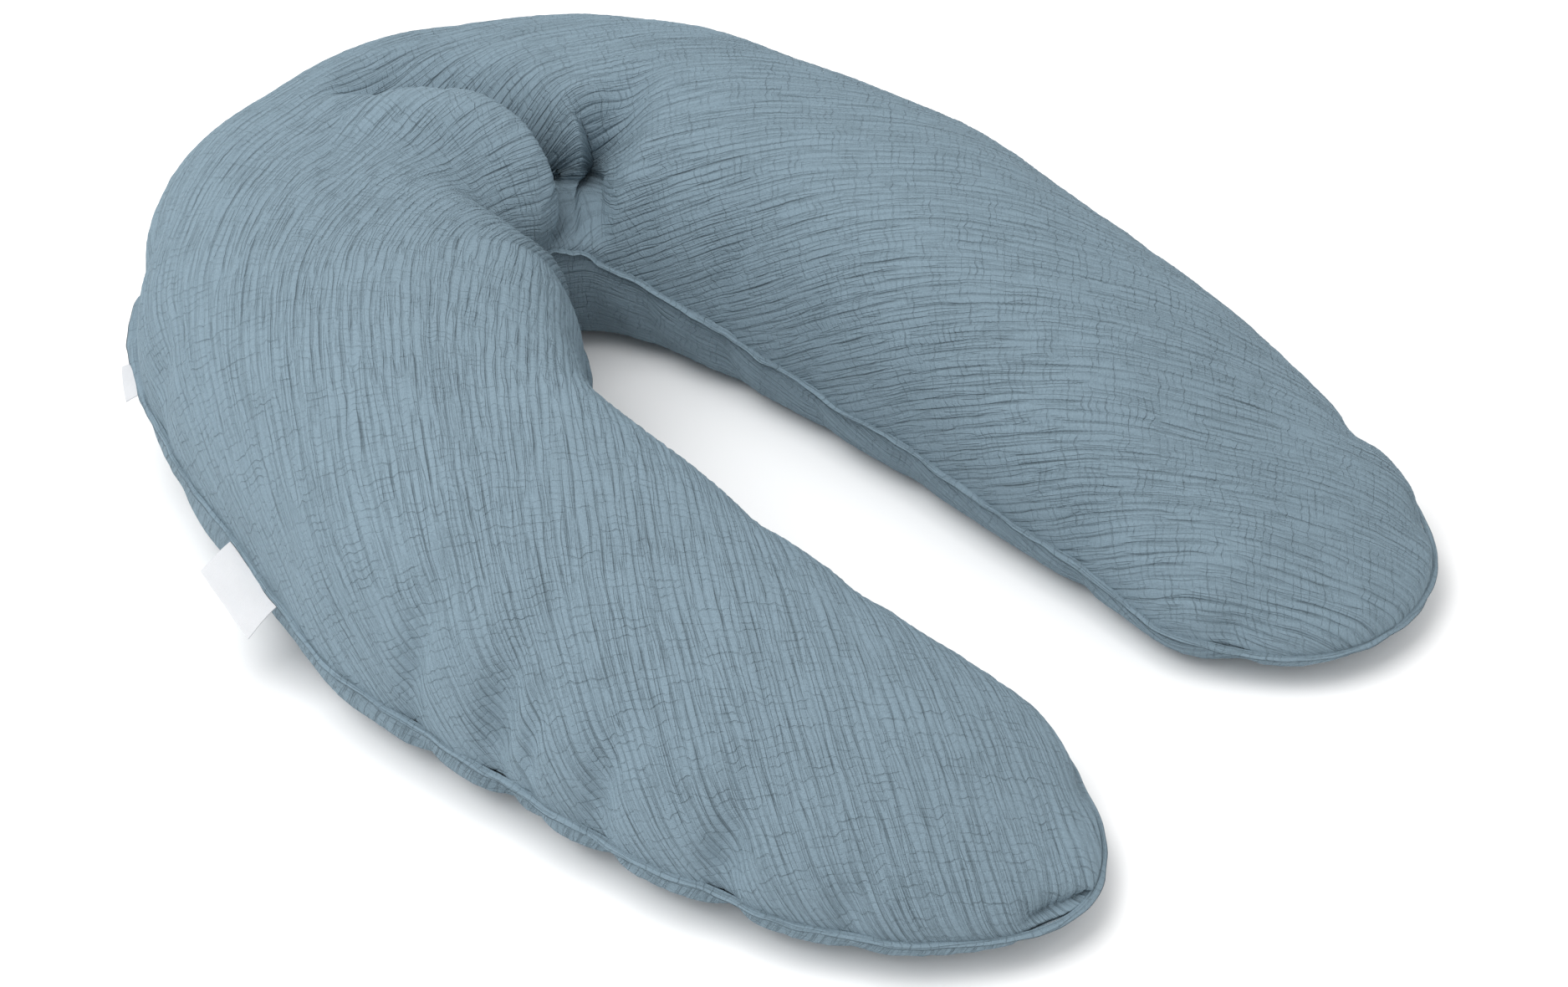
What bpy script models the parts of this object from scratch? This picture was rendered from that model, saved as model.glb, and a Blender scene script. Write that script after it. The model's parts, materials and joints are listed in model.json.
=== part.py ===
"""Nursing pillow: a long bead-filled pillow bent into a U, in a zipped muslin cover.

Metres, +Z up. The crown of the U points along +Y and the two arms along -Y. The origin is the
middle of the underside. Distances along the pillow are measured on its centreline from the top
of the crown: negative into the left arm (-X), positive into the right arm (+X). Distances
across it are measured from the centreline, positive to the outside of the U.

The soft pieces bend freely on the real pillow. Here they are cut at a hinge on each arm, and the
cut opens into a narrow wedge towards the inside of the U, so the arms can also close.
"""

import math

import bmesh
import bpy
from mathutils import Matrix, Vector

LEFT, RIGHT = -1, 1

# Outline: three arcs on each side, from the top of the crown to the tip.
HALF_LENGTH = 0.900  # centreline, crown to tip
CROWN_RADIUS = 0.195
CROWN_ANGLE = {LEFT: math.radians(82), RIGHT: math.radians(78)}
SHOULDER_RADIUS = 0.630
SHOULDER_ANGLE = math.radians(9)
ARM_RADIUS = {LEFT: 2.15, RIGHT: 3.05}
PINCH_RADIUS = 0.034  # of the seam's bend at the inside of the crown

# Fullness: place on the centreline, reach to the inside of the U, reach to the outside, height
# of the top above the seam, and height of the seam above the ground. Level along the zips.
CROWN_OUTER = 0.094
CROWN_SEAM_HEIGHT = 0.108
FULLNESS = [
    (0.00, CROWN_RADIUS - PINCH_RADIUS, CROWN_OUTER, 0.119, CROWN_SEAM_HEIGHT),
    (0.15, 0.138, CROWN_OUTER, 0.113, CROWN_SEAM_HEIGHT),
    (0.30, 0.121, 0.098, 0.127, 0.088),
    (0.45, 0.112, 0.133, 0.136, 0.064),
    (0.65, 0.114, 0.133, 0.095, 0.048),
    (0.80, 0.113, 0.114, 0.050, 0.036),
    (0.90, 0.092, 0.089, 0.034, 0.029),
]
INSIDE, OUTSIDE, TOP, SEAM = 1, 2, 3, 4  # columns of FULLNESS
TOP_POWER = 2.4  # roundness of the top: 2 is an ellipse, more is boxier
FLANK_POWER = 2.3
FOOTPRINT = 0.50  # share of each reach that lies flat on the ground
TIP_LENGTH = 0.126  # over which each end closes
TIP_POWER = 2.6

# Cloth and fill
GAP = 0.0003  # between pieces that touch
COVER_THICKNESS = 0.0020
BAG_THICKNESS = 0.0020
LAYER_GAP = 0.0025
FILL_ROOM = 0.0042  # between the inner bag and the fill
BAG_SIDE_ROOM = 0.0090  # between the cover and the inner bag, beside the seam
SEAM_WIDTH = 0.0050
SEAM_THICKNESS = 0.0016

# Arm hinges
HINGE_PLACE = 0.420  # on the centreline
HINGE_OUTSIDE_SEAM = 0.0010
CLOSING_WEDGE = math.radians(5.6)

# Zips. Angles are seen from above about the centre of the crown's arc, positive to the left.
ZIP_HALF_ANGLE = math.radians(41)
BAG_ZIP_HALF_ANGLE = math.radians(30)
WINDOW_HEIGHT = 0.0130
WINDOW_CLOSING = 0.0060  # the window's corners close over this length
TAPE_THICKNESS = 0.0007
TAPE_HEIGHT = 0.0120
UPRIGHT_WALL = TAPE_HEIGHT + 0.0020
COIL_HEIGHT = 0.0016
COIL_DEPTH = 0.0016
SLIDER_LENGTH = 0.0110
SLIDER_WALL = 0.0014
STOP_LENGTH = 0.0040
STOP_PROUD = 0.0004  # the stops stand this far above and below the coils
PIN_RADIUS = 0.0007
PIN_CLEARANCE = 0.00012
EAR_THICKNESS = 0.0013
PIN_STANDOFF = 0.0026  # from the slider's face to the pull's pin
EAR_RADIUS = 0.0016
EAR_HALF_WIDTH = 0.0022
TAB_LENGTH = 0.026
TAB_LIFT = math.radians(6)  # the tab rests a little off the tape, clear of the raised seam
TAB_WIDTH = 0.0070
TAB_THICKNESS = 0.0014
TAB_EAR_ROOM = 0.0012  # between the ears' round ends and the tab's shoulders
TAB_SLOT_LENGTH = 0.010
TAB_SLOT_WIDTH = 0.003
BARREL_RADIUS = 0.00105

# Labels, caught in the outer seam
SIDE_LABEL_PLACE = -0.354
SIDE_LABEL_WIDTH = 0.058
SIDE_LABEL_REACH = 0.030
CARE_LABEL_PLACE = -0.200
CARE_LABEL_WIDTH = 0.030
CARE_LABEL_REACH = 0.012
LABEL_THICKNESS = 0.0008
LABEL_GAP = 0.0010  # under the raised seam
LABEL_STANDOFF = 0.0025  # beside the cover, whose flat faces may pass its curve
LABEL_STEPS = 4

ZIP_STEPS = 12  # facets along a zip
SIDE_ROWS = 6  # facets from a zip's end to the hinge
ARM_ROWS = 10
TOP_COLUMNS = 8
FLANK_STEPS = 3

MATERIALS = {
    "muslin": ((0.235, 0.330, 0.390), 0.95, 0.0),
    "bag_cotton": ((0.85, 0.85, 0.83), 0.9, 0.0),
    "beads": ((0.92, 0.92, 0.91), 0.7, 0.0),
    "zip_tape": ((0.200, 0.290, 0.350), 0.85, 0.0),
    "zip_plastic": ((0.240, 0.340, 0.400), 0.45, 0.0),
    "zip_metal": ((0.55, 0.56, 0.58), 0.35, 0.9),
    "label_white": ((0.86, 0.86, 0.85), 0.7, 0.0),
}


# ---- Outline and fullness ----


def centreline(side, s):
    """Point, direction towards the tip and outward direction at a distance s from the crown."""
    x, y, heading, left_over = 0.0, 0.0, 0.0, s
    arcs = [
        (CROWN_RADIUS, CROWN_RADIUS * CROWN_ANGLE[side]),
        (SHOULDER_RADIUS, SHOULDER_RADIUS * SHOULDER_ANGLE),
        (ARM_RADIUS[side], math.inf),
    ]
    for radius, length in arcs:
        run = min(left_over, length)
        turned = heading + run / radius
        x += radius * (math.sin(turned) - math.sin(heading))
        y += radius * (math.cos(turned) - math.cos(heading))
        heading, left_over = turned, left_over - run
        if left_over <= 0:
            break
    point = Vector((side * x, y, 0))
    along = Vector((side * math.cos(heading), -math.sin(heading), 0))
    outward = Vector((side * math.sin(heading), math.cos(heading), 0))
    return point, along, outward


ARC_CENTRE = Vector((0, -CROWN_RADIUS, 0))


def fullness(s, column):
    """Smooth curve through one column of FULLNESS."""
    places = [row[0] * HALF_LENGTH / FULLNESS[-1][0] for row in FULLNESS]
    values = [row[column] for row in FULLNESS]
    s = min(s, places[-1])
    i = max(k for k in range(len(places) - 1) if places[k] <= s or k == 0)

    def slope(k):
        if k in (0, len(places) - 1):
            return 0.0
        before = (values[k] - values[k - 1]) / (places[k] - places[k - 1])
        after = (values[k + 1] - values[k]) / (places[k + 1] - places[k])
        return 0.0 if before * after <= 0 else 2 * before * after / (before + after)

    step = places[i + 1] - places[i]
    t = (s - places[i]) / step
    return (
        (2 * t**3 - 3 * t**2 + 1) * values[i]
        + (t**3 - 2 * t**2 + t) * step * slope(i)
        + (3 * t**2 - 2 * t**3) * values[i + 1]
        + (t**3 - t**2) * step * slope(i + 1)
    )


class Layer:
    """One skin of the pillow: how far it lies inside the cover's outer surface."""

    def __init__(self, beside, above, below):
        self.beside, self.above, self.below = beside, above, below

    def inner(self, thickness):
        return Layer(self.beside + thickness, self.above + thickness, self.below + thickness)

    def length(self):
        return HALF_LENGTH - self.beside

    def point(self, side, s, x, z, seam_shift, wedge=None, rise=0.0):
        """Point at x across (-1 inside to 1 outside) and z up (-1 underside to 1 top)."""
        middle, along, outward = centreline(side, s)
        t = max(0.0, (s - (HALF_LENGTH - TIP_LENGTH)) / (TIP_LENGTH - self.beside))
        t = min(t, 1.0)
        narrow = math.sqrt(1 - t**TIP_POWER)
        low = math.sqrt(1 - t * t)
        across = x * (fullness(s, OUTSIDE if x > 0 else INSIDE) - self.beside) * narrow
        seam = fullness(s, SEAM) + seam_shift
        if z >= 0:
            up = seam + (z * (fullness(s, TOP) - self.above - seam_shift) + rise) * low
        else:
            up = seam + z * (seam - self.below) * low
        found = middle + outward * across
        if wedge:
            found += along * wedge.shift(across)
        return Vector((found.x, found.y, up))


class Wedge:
    """The cut at an arm's hinge. towards is 1 on the arm's face and -1 on the crown's."""

    def __init__(self, towards):
        self.towards = towards

    def shift(self, across):
        room = hinge_reach() - across
        return self.towards * (GAP / 2 + max(room, 0) * math.tan(CLOSING_WEDGE / 2))


def hinge_reach():
    return fullness(HINGE_PLACE, OUTSIDE) + GAP + SEAM_WIDTH + HINGE_OUTSIDE_SEAM


def hinge_point(side):
    middle, _, outward = centreline(side, HINGE_PLACE)
    return middle + outward * hinge_reach()


COVER = Layer(0, 0, 0)
COVER_INSIDE = COVER.inner(COVER_THICKNESS)
BAG = Layer(
    COVER_THICKNESS + BAG_SIDE_ROOM,
    COVER_THICKNESS + LAYER_GAP,
    COVER_THICKNESS + LAYER_GAP,
)
BAG_INSIDE = BAG.inner(BAG_THICKNESS)
FILL = BAG_INSIDE.inner(FILL_ROOM)


class ZipArc:
    """A zip along the crown's outer seam: its two end angles and its tapes' outer face."""

    def __init__(self, half_angle, wall_inside):
        self.start, self.end = -half_angle, half_angle
        self.face = CROWN_RADIUS + CROWN_OUTER - wall_inside.beside - GAP

    def holds(self, angle):
        return self.start - 1e-6 <= angle <= self.end + 1e-6


COVER_ZIP = ZipArc(ZIP_HALF_ANGLE, COVER_INSIDE)
BAG_ZIP = ZipArc(BAG_ZIP_HALF_ANGLE, BAG_INSIDE)


# ---- Sections and stations ----


def top_sweep():
    """Points over the top, from the outer seam to the inner seam, as x, z and an added rise.

    The second point keeps the wall upright beside the outer seam, where the zip tapes lie.
    """
    sweep = [(1.0, 0.0, 0.0), (1.0, 0.0, UPRIGHT_WALL)]
    for k in range(1, TOP_COLUMNS):
        angle = math.pi * k / TOP_COLUMNS
        c, s = math.cos(angle), math.sin(angle)
        sweep.append((math.copysign(abs(c) ** (2 / TOP_POWER), c), s ** (2 / TOP_POWER), 0.0))
    return sweep + [(-1.0, 0.0, 0.0)]


def under_sweep():
    """Points round the underside: a round flank, the flat footprint and a round flank."""
    flank = []
    for k in range(1, FLANK_STEPS):
        angle = math.pi / 2 * k / FLANK_STEPS
        x = FOOTPRINT + (1 - FOOTPRINT) * math.cos(angle) ** (2 / FLANK_POWER)
        flank.append((x, -(math.sin(angle) ** (2 / FLANK_POWER)), 0.0))
    flank.append((FOOTPRINT, -1.0, 0.0))
    outer = [(1.0, 0.0, 0.0), (1.0, 0.0, -UPRIGHT_WALL)] + flank
    return outer + [(0.0, -1.0, 0.0)] + [(-x, z, 0.0) for x, z, _ in flank[::-1]] + [(-1.0, 0.0, 0.0)]


def at_hinge(place):
    return math.isclose(abs(place), HINGE_PLACE)


def crown_stations(zip_arc):
    """Distances along the crown's piece, from the left hinge to the right one.

    Angles to the left are positive and distances to the left negative. The rows along the zip
    stand at its own corners, so the cloth and the tapes have the same facets.
    """
    left, right = -zip_arc.end * CROWN_RADIUS, -zip_arc.start * CROWN_RADIUS
    near_left, near_right = left - WINDOW_CLOSING, right + WINDOW_CLOSING
    rows = [-HINGE_PLACE + (near_left + HINGE_PLACE) * k / SIDE_ROWS for k in range(SIDE_ROWS + 1)]
    rows += [left + (right - left) * k / ZIP_STEPS for k in range(ZIP_STEPS + 1)]
    rows += [near_right + (HINGE_PLACE - near_right) * k / SIDE_ROWS for k in range(SIDE_ROWS + 1)]
    return rows


def arm_stations(layer):
    """Distances along an arm, from its hinge to its tip, closer together at the tip."""
    span = layer.length() - HINGE_PLACE
    shares = [math.sin(math.pi / 2 * k / ARM_ROWS) for k in range(ARM_ROWS + 1)]
    return [HINGE_PLACE + span * share for share in shares]


def surface_rows(layer, body, sweep, seam_shift, zip_arc, has_window=False):
    """Rows of points over one skin. An arm's last row is its tip, a single point."""
    rows = []
    stations = crown_stations(zip_arc) if body == "crown" else arm_stations(layer)
    for k, place in enumerate(stations):
        if body == "crown":
            side = LEFT if place < 0 else RIGHT
            wedge = Wedge(-1) if k in (0, len(stations) - 1) else None
        else:
            side = LEFT if body == "left_arm" else RIGHT
            wedge = Wedge(1) if k == 0 else None
        if body != "crown" and k == len(stations) - 1:
            rows.append([layer.point(side, layer.length(), 0, 0, seam_shift)])
            continue
        row = [layer.point(side, abs(place), x, z, seam_shift, wedge, rise) for x, z, rise in sweep]
        if has_window and body == "crown" and zip_arc.holds(-place / CROWN_RADIUS):
            rise = math.copysign(WINDOW_HEIGHT / 2, seam_shift)
            row[0].z = fullness(abs(place), SEAM) + rise
        rows.append(row)
    if body == "left_arm":
        rows = [list(reversed(row)) for row in rows]
    return rows


# ---- Solids ----


def lofted(rows, faces, verts, flipped=False):
    """Adds a grid of faces through rows of points, and returns the rows' vertex numbers."""
    numbers = []
    for row in rows:
        numbers.append(list(range(len(verts), len(verts) + len(row))))
        verts.extend(row)
    for near, far in zip(numbers, numbers[1:]):
        bridge(near, far, faces, flipped)
    return numbers


def bridge(near, far, faces, flipped=False):
    """Faces between two rows of vertex numbers, either of which may be a single point."""
    for k in range(max(len(near), len(far)) - 1):
        if len(far) == 1:
            face = [near[k], near[k + 1], far[0]]
        elif len(near) == 1:
            face = [near[0], far[k + 1], far[k]]
        else:
            face = [near[k], near[k + 1], far[k + 1], far[k]]
        faces.append(face[::-1] if flipped else face)


def shell(outer_rows, inner_rows):
    """Closed wall between two skins that have the same rows."""
    verts, faces = [], []
    outer = lofted(outer_rows, faces, verts)
    inner = lofted(inner_rows, faces, verts, flipped=True)
    first = [row[0] for row in outer], [row[0] for row in inner]
    last = [row[-1] for row in outer], [row[-1] for row in inner]
    bridge(first[1], first[0], faces, flipped=True)
    bridge(last[0], last[1], faces, flipped=True)
    bridge(outer[0], inner[0], faces, flipped=True)
    if len(outer[-1]) > 1:
        bridge(outer[-1], inner[-1], faces)
    return verts, faces


def block(rows):
    """Closed solid through rows that each go once round it, with flat or pointed ends."""
    verts, faces = [], []
    looped = [row + row[:1] if len(row) > 1 else row for row in rows]
    numbers = []
    for row in looped:
        count = len(row) - 1 if len(row) > 1 else 1
        start = len(verts)
        ring = list(range(start, start + count))
        verts.extend(row[:count])
        numbers.append(ring + ring[:1] if count > 1 else ring)
    for near, far in zip(numbers, numbers[1:]):
        bridge(near, far, faces)
    if len(numbers[0]) > 1:
        faces.append(numbers[0][:-1][::-1])
    if len(numbers[-1]) > 1:
        faces.append(numbers[-1][:-1])
    return verts, faces


BODY_EMPTIES = {}
BODY_PLACES = {}


def new_body(name, place, parent=None):
    empty = bpy.data.objects.new(name + "_axis", None)
    empty.empty_display_size = 0.05
    bpy.context.scene.collection.objects.link(empty)
    if parent:
        empty.parent = BODY_EMPTIES[parent]
        empty.location = place - BODY_PLACES[parent]
    else:
        empty.location = place
    BODY_EMPTIES[name], BODY_PLACES[name] = empty, place
    return empty


def material(name):
    found = bpy.data.materials.get(name)
    if found:
        return found
    colour, roughness, metallic = MATERIALS[name]
    made = bpy.data.materials.new(name)
    made.use_nodes = True
    shader = made.node_tree.nodes["Principled BSDF"]
    shader.inputs["Base Color"].default_value = (*colour, 1)
    shader.inputs["Roughness"].default_value = roughness
    shader.inputs["Metallic"].default_value = metallic
    made.diffuse_color = (*colour, 1)
    return made


def add_node(name, body, finish, verts, faces):
    """One named object on a body, its mesh placed from the body's axis."""
    mesh = bpy.data.meshes.new(name)
    place = BODY_PLACES[body]
    mesh.from_pydata([v - place for v in verts], [], faces)
    build = bmesh.new()
    build.from_mesh(mesh)
    bmesh.ops.recalc_face_normals(build, faces=build.faces)
    bmesh.ops.triangulate(build, faces=[f for f in build.faces if len(f.verts) > 4])
    build.to_mesh(mesh)
    build.free()
    mesh.shade_smooth()
    mesh.set_sharp_from_angle(angle=math.radians(40))
    mesh.materials.append(material(finish))
    node = bpy.data.objects.new(name, mesh)
    bpy.context.scene.collection.objects.link(node)
    node.parent = BODY_EMPTIES[body]
    return node


# ---- Cover, inner bag and fill ----


def make_panels(name, finish, outside, inside, zip_arc):
    """Top and bottom panels of the cover or the inner bag, one solid on each body."""
    for face, sweep, shift in (("top", top_sweep(), GAP / 2), ("bottom", under_sweep(), -GAP / 2)):
        for body in ("crown", "left_arm", "right_arm"):
            outer = surface_rows(outside, body, sweep, shift, zip_arc, True)
            inner = surface_rows(inside, body, sweep, shift, zip_arc, True)
            add_node(f"{name}_{face}_{body}", body, finish, *shell(outer, inner))


def make_fill():
    for body in ("crown", "left_arm", "right_arm"):
        over = surface_rows(FILL, body, top_sweep(), 0, BAG_ZIP)
        under = surface_rows(FILL, body, under_sweep(), 0, BAG_ZIP)
        rows = []
        for top_row, under_row in zip(over, under):
            rows.append(top_row + under_row[::-1][1:-1] if len(top_row) > 1 else top_row)
        add_node(f"bead_fill_{body}", body, "beads", *block(rows))


# ---- Seam ----


def seam_row(side, place, across, direction, wedge):
    """Four points round the raised seam, at x = across on the cover, standing out in direction."""
    edge = COVER.point(side, place, across, 0, 0)
    middle, along, outward = centreline(side, place)
    row = []
    for out, up in ((GAP, -1), (GAP + SEAM_WIDTH, -1), (GAP + SEAM_WIDTH, 1), (GAP, 1)):
        point = edge + direction * out
        if wedge:
            point += along * wedge.shift((point - middle).dot(outward))
        row.append(Vector((point.x, point.y, edge.z + up * SEAM_THICKNESS / 2)))
    return row


def crown_seam_rows(stations, across):
    """Rows of the crown's seam on the outside (1) or the inside (-1) of the U."""
    rows = []
    for place in stations:
        side = LEFT if place < 0 else RIGHT
        outward = centreline(side, abs(place))[2]
        wedge = Wedge(-1) if at_hinge(place) else None
        rows.append(seam_row(side, abs(place), across, outward * across, wedge))
    return rows


def arm_seam_rows(side):
    """The raised seam from one side of an arm, round its tip and back along the other side."""
    places = arm_stations(COVER)[:-1]
    loop = [(p, 1) for p in places] + [(HALF_LENGTH, 0)] + [(p, -1) for p in places[::-1]]
    edge = [COVER.point(side, place, across, 0, 0) for place, across in loop]
    rows = []
    for k, (place, across) in enumerate(loop):
        if k in (0, len(loop) - 1):
            direction, wedge = centreline(side, place)[2] * across, Wedge(1)
        else:
            run = edge[k + 1] - edge[k - 1]
            direction, wedge = Vector((-run.y, run.x, 0)).normalized() * side, None
        rows.append(seam_row(side, place, across, direction, wedge))
    return rows


def make_seams():
    for side, body in ((LEFT, "left_arm"), (RIGHT, "right_arm")):
        add_node(f"seam_{body}", body, "muslin", *block(arm_seam_rows(side)))
    stations = crown_stations(COVER_ZIP)
    strips = (
        ("inside", stations, -1),
        ("left", stations[: SIDE_ROWS + 1], 1),
        ("right", stations[-SIDE_ROWS - 1 :], 1),
    )
    for name, run, across in strips:
        add_node(f"seam_crown_{name}", "crown", "muslin", *block(crown_seam_rows(run, across)))


# ---- Zips ----


def polar(radius, angle, height):
    """Point about the centre of the crown's arc. Angles run from +Y, positive to the left."""
    return ARC_CENTRE + Vector((-radius * math.sin(angle), radius * math.cos(angle), height))


def swept(outline, start, end, steps, cut_back=0.0):
    """Closed solid of an outline in (radius, height), swept between two angles.

    cut_back shortens both ends and leaves the facets between them where they are.
    """
    rows = []
    for k in range(steps + 1):
        angle = start + (end - start) * k / steps
        angle = min(max(angle, start + cut_back), end - cut_back)
        rows.append([polar(radius, angle, height) for radius, height in outline])
    return block(rows)


def rectangle(inner, outer, low, high):
    return [(inner, low), (outer, low), (outer, high), (inner, high)]


def join(target, *others):
    """Boolean union of helper solids into target."""
    for other in others:
        other.hide_render = True
        other.display_type = "WIRE"
        union = target.modifiers.new("join_" + other.name, "BOOLEAN")
        union.operation = "UNION"
        union.object = other


def cut(target, *others):
    for other in others:
        other.hide_render = True
        other.display_type = "WIRE"
        less = target.modifiers.new("cut_" + other.name, "BOOLEAN")
        less.operation = "DIFFERENCE"
        less.object = other


def make_zip(prefix, slider_body, arc):
    """Two tapes and coils, stops and a slider. The slider is at the arc's start, zip closed."""
    body, seam = "crown", CROWN_SEAM_HEIGHT
    face_radius, start, end = arc.face, arc.start, arc.end
    tape_in, tape_out = face_radius - TAPE_THICKNESS, face_radius
    coil_in = tape_out + GAP
    coil_out = coil_in + COIL_DEPTH
    for name, up in (("upper", 1), ("lower", -1)):
        low, high = sorted((seam + up * GAP, seam + up * TAPE_HEIGHT))
        outline = rectangle(tape_in, tape_out, low, high)
        add_node(f"{prefix}_tape_{name}", body, "zip_tape", *swept(outline, start, end, ZIP_STEPS))
        low, high = sorted((seam + up * GAP / 2, seam + up * COIL_HEIGHT))
        outline = rectangle(coil_in, coil_out, low, high)
        solid = swept(outline, start, end, ZIP_STEPS, STOP_LENGTH / face_radius)
        add_node(f"{prefix}_coil_{name}", body, "zip_plastic", *solid)
    stop_angle = (STOP_LENGTH - GAP) / face_radius
    half = COIL_HEIGHT + STOP_PROUD
    for name, low, high in (("upper", GAP / 2, half), ("lower", -half, -GAP / 2)):
        outline = rectangle(coil_in, coil_out, seam + low, seam + high)
        solid = swept(outline, start, start + stop_angle, 1)
        add_node(f"{prefix}_top_stop_{name}", body, "zip_metal", *solid)
    outline = rectangle(coil_in, coil_out, seam - half, seam + half)
    solid = swept(outline, end - stop_angle, end, 1)
    add_node(f"{prefix}_bottom_stop", body, "zip_metal", *solid)

    # The slider wraps the coils from the front, with a lip above and below them.
    slot = COIL_HEIGHT + GAP
    edge = slot + SLIDER_WALL
    front = coil_out + GAP
    outline = [
        (coil_in, seam - edge),
        (front + SLIDER_WALL, seam - edge),
        (front + SLIDER_WALL, seam + edge),
        (coil_in, seam + edge),
        (coil_in, seam + slot),
        (front, seam + slot),
        (front, seam - slot),
        (coil_in, seam - slot),
    ]
    slider_start = start + (STOP_LENGTH + GAP) / face_radius
    slider_end = slider_start + SLIDER_LENGTH / face_radius
    solid = swept(outline, slider_start, slider_end, 2)
    slider = add_node(f"{prefix}_slider", slider_body, "zip_metal", *solid)
    return slider, front + SLIDER_WALL, (slider_start + slider_end) / 2


def pull_frame(radius, angle):
    """Point on the pull's pin axis, and its outward and trailing directions."""
    point = polar(radius, angle, CROWN_SEAM_HEIGHT)
    outward = Vector((-math.sin(angle), math.cos(angle), 0))
    trailing = Vector((-math.cos(angle), -math.sin(angle), 0))
    return point, outward, trailing


def cylinder(name, body, finish, centre, radius, length, sides=12):
    """Upright round bar centred on a point."""
    rows = []
    for z in (-length / 2, length / 2):
        ring = []
        for k in range(sides):
            turn = 2 * math.pi * (k + 0.5) / sides
            ring.append(centre + Vector((radius * math.cos(turn), radius * math.sin(turn), z)))
        rows.append(ring)
    return add_node(name, body, finish, *block(rows))


def plate(outline, across, up, through, centre, thickness):
    """Plate of an outline drawn on the across and up directions, as thick as given through."""
    rows = []
    for depth in (-thickness / 2, thickness / 2):
        rows.append([centre + across * a + up * b + through * depth for a, b in outline])
    return block(rows)


def arc_points(centre, radius, start, end, steps):
    """Points on an arc whose centre is on the first axis, between two angles in degrees."""
    points = []
    for k in range(steps + 1):
        turn = math.radians(start + (end - start) * k / steps)
        points.append((centre + radius * math.cos(turn), radius * math.sin(turn)))
    return points


def make_pull(slider, face, angle):
    """Two ears on the slider hold the pull's pin, and the pull lies back along the closed zip."""
    centre, outward, trailing = pull_frame(face + PIN_STANDOFF, angle)
    upward = Vector((0, 0, 1))
    knuckle = TAB_WIDTH - 2 * (EAR_THICKNESS + GAP)
    for name, up in (("ear_upper", 1), ("ear_lower", -1)):
        middle = centre + Vector((0, 0, up * (knuckle / 2 + GAP + EAR_THICKNESS / 2)))
        base = -PIN_STANDOFF - SLIDER_WALL / 2
        outline = [(-EAR_HALF_WIDTH, base), (EAR_HALF_WIDTH, base)]
        outline += arc_points(0, EAR_RADIUS, 0, 180, 6)
        solid = plate(outline, trailing, outward, upward, middle, EAR_THICKNESS)
        join(slider, add_node(name, "zip_slider", "zip_metal", *solid))
    hole = PIN_RADIUS + PIN_CLEARANCE
    cut(slider, cylinder("pin_hole", "zip_slider", "zip_metal", centre, hole, 2 * TAB_WIDTH))

    # The tab: a rounded plate with a slot, a barrel and a pin.
    lift = Matrix.Rotation(-TAB_LIFT, 3, upward)
    trailing, outward = lift @ trailing, lift @ outward
    half = TAB_WIDTH / 2
    neck, shoulder = EAR_RADIUS + TAB_EAR_ROOM, 2 * (EAR_RADIUS + TAB_EAR_ROOM)
    outline = [(0.0, -knuckle / 2), (neck, -knuckle / 2), (shoulder, -half)]
    outline += arc_points(TAB_LENGTH - half, half, -90, 90, 8)
    outline += [(shoulder, half), (neck, knuckle / 2), (0.0, knuckle / 2)]
    solid = plate(outline, trailing, upward, outward, centre, TAB_THICKNESS)
    tab = add_node("zip_pull", "zip_pull", "zip_metal", *solid)
    barrel = cylinder("barrel", "zip_pull", "zip_metal", centre, BARREL_RADIUS, knuckle)
    pin = cylinder("pin", "zip_pull", "zip_metal", centre, PIN_RADIUS, knuckle + 2 * EAR_THICKNESS)
    join(tab, barrel, pin)
    round_end = TAB_SLOT_WIDTH / 2
    straight = TAB_SLOT_LENGTH / 2 - round_end
    slot = arc_points(straight, round_end, -90, 90, 4) + arc_points(-straight, round_end, 90, 270, 4)
    middle = centre + trailing * (TAB_LENGTH - half - straight)
    solid = plate(slot, trailing, upward, outward, middle, 4 * TAB_THICKNESS)
    cut(tab, add_node("tab_slot", "zip_pull", "zip_metal", *solid))


# ---- Labels ----


def make_label(name, place, width, reach):
    """A flat woven label caught under the outer seam."""
    side = LEFT if place < 0 else RIGHT
    body = "crown" if abs(place) < HINGE_PLACE else ("left_arm" if side == LEFT else "right_arm")
    rows = []
    for k in range(LABEL_STEPS + 1):
        s = abs(place) + width * (k / LABEL_STEPS - 0.5)
        edge = COVER.point(side, s, 1, 0, 0)
        outward = centreline(side, s)[2]
        top = edge.z - SEAM_THICKNESS / 2 - LABEL_GAP
        low = top - LABEL_THICKNESS
        row = []
        for out, z in ((LABEL_STANDOFF, low), (reach, low), (reach, top), (LABEL_STANDOFF, top)):
            point = edge + outward * out
            row.append(Vector((point.x, point.y, z)))
        rows.append(row)
    add_node(name, body, "label_white", *block(rows))


# ---- Assembly ----


def clear_scene():
    for old in list(bpy.data.objects):
        bpy.data.objects.remove(old, do_unlink=True)


def centre_on_origin():
    """Moves the whole pillow so that the middle of its underside is at the origin."""
    bpy.context.view_layer.update()
    corners = []
    for node in bpy.data.objects:
        if node.type == "MESH" and not node.hide_render:
            corners += [node.matrix_world @ v.co for v in node.data.vertices]
    middle_x = (min(c.x for c in corners) + max(c.x for c in corners)) / 2
    middle_y = (min(c.y for c in corners) + max(c.y for c in corners)) / 2
    BODY_EMPTIES["crown"].location -= Vector((middle_x, middle_y, 0))


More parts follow.
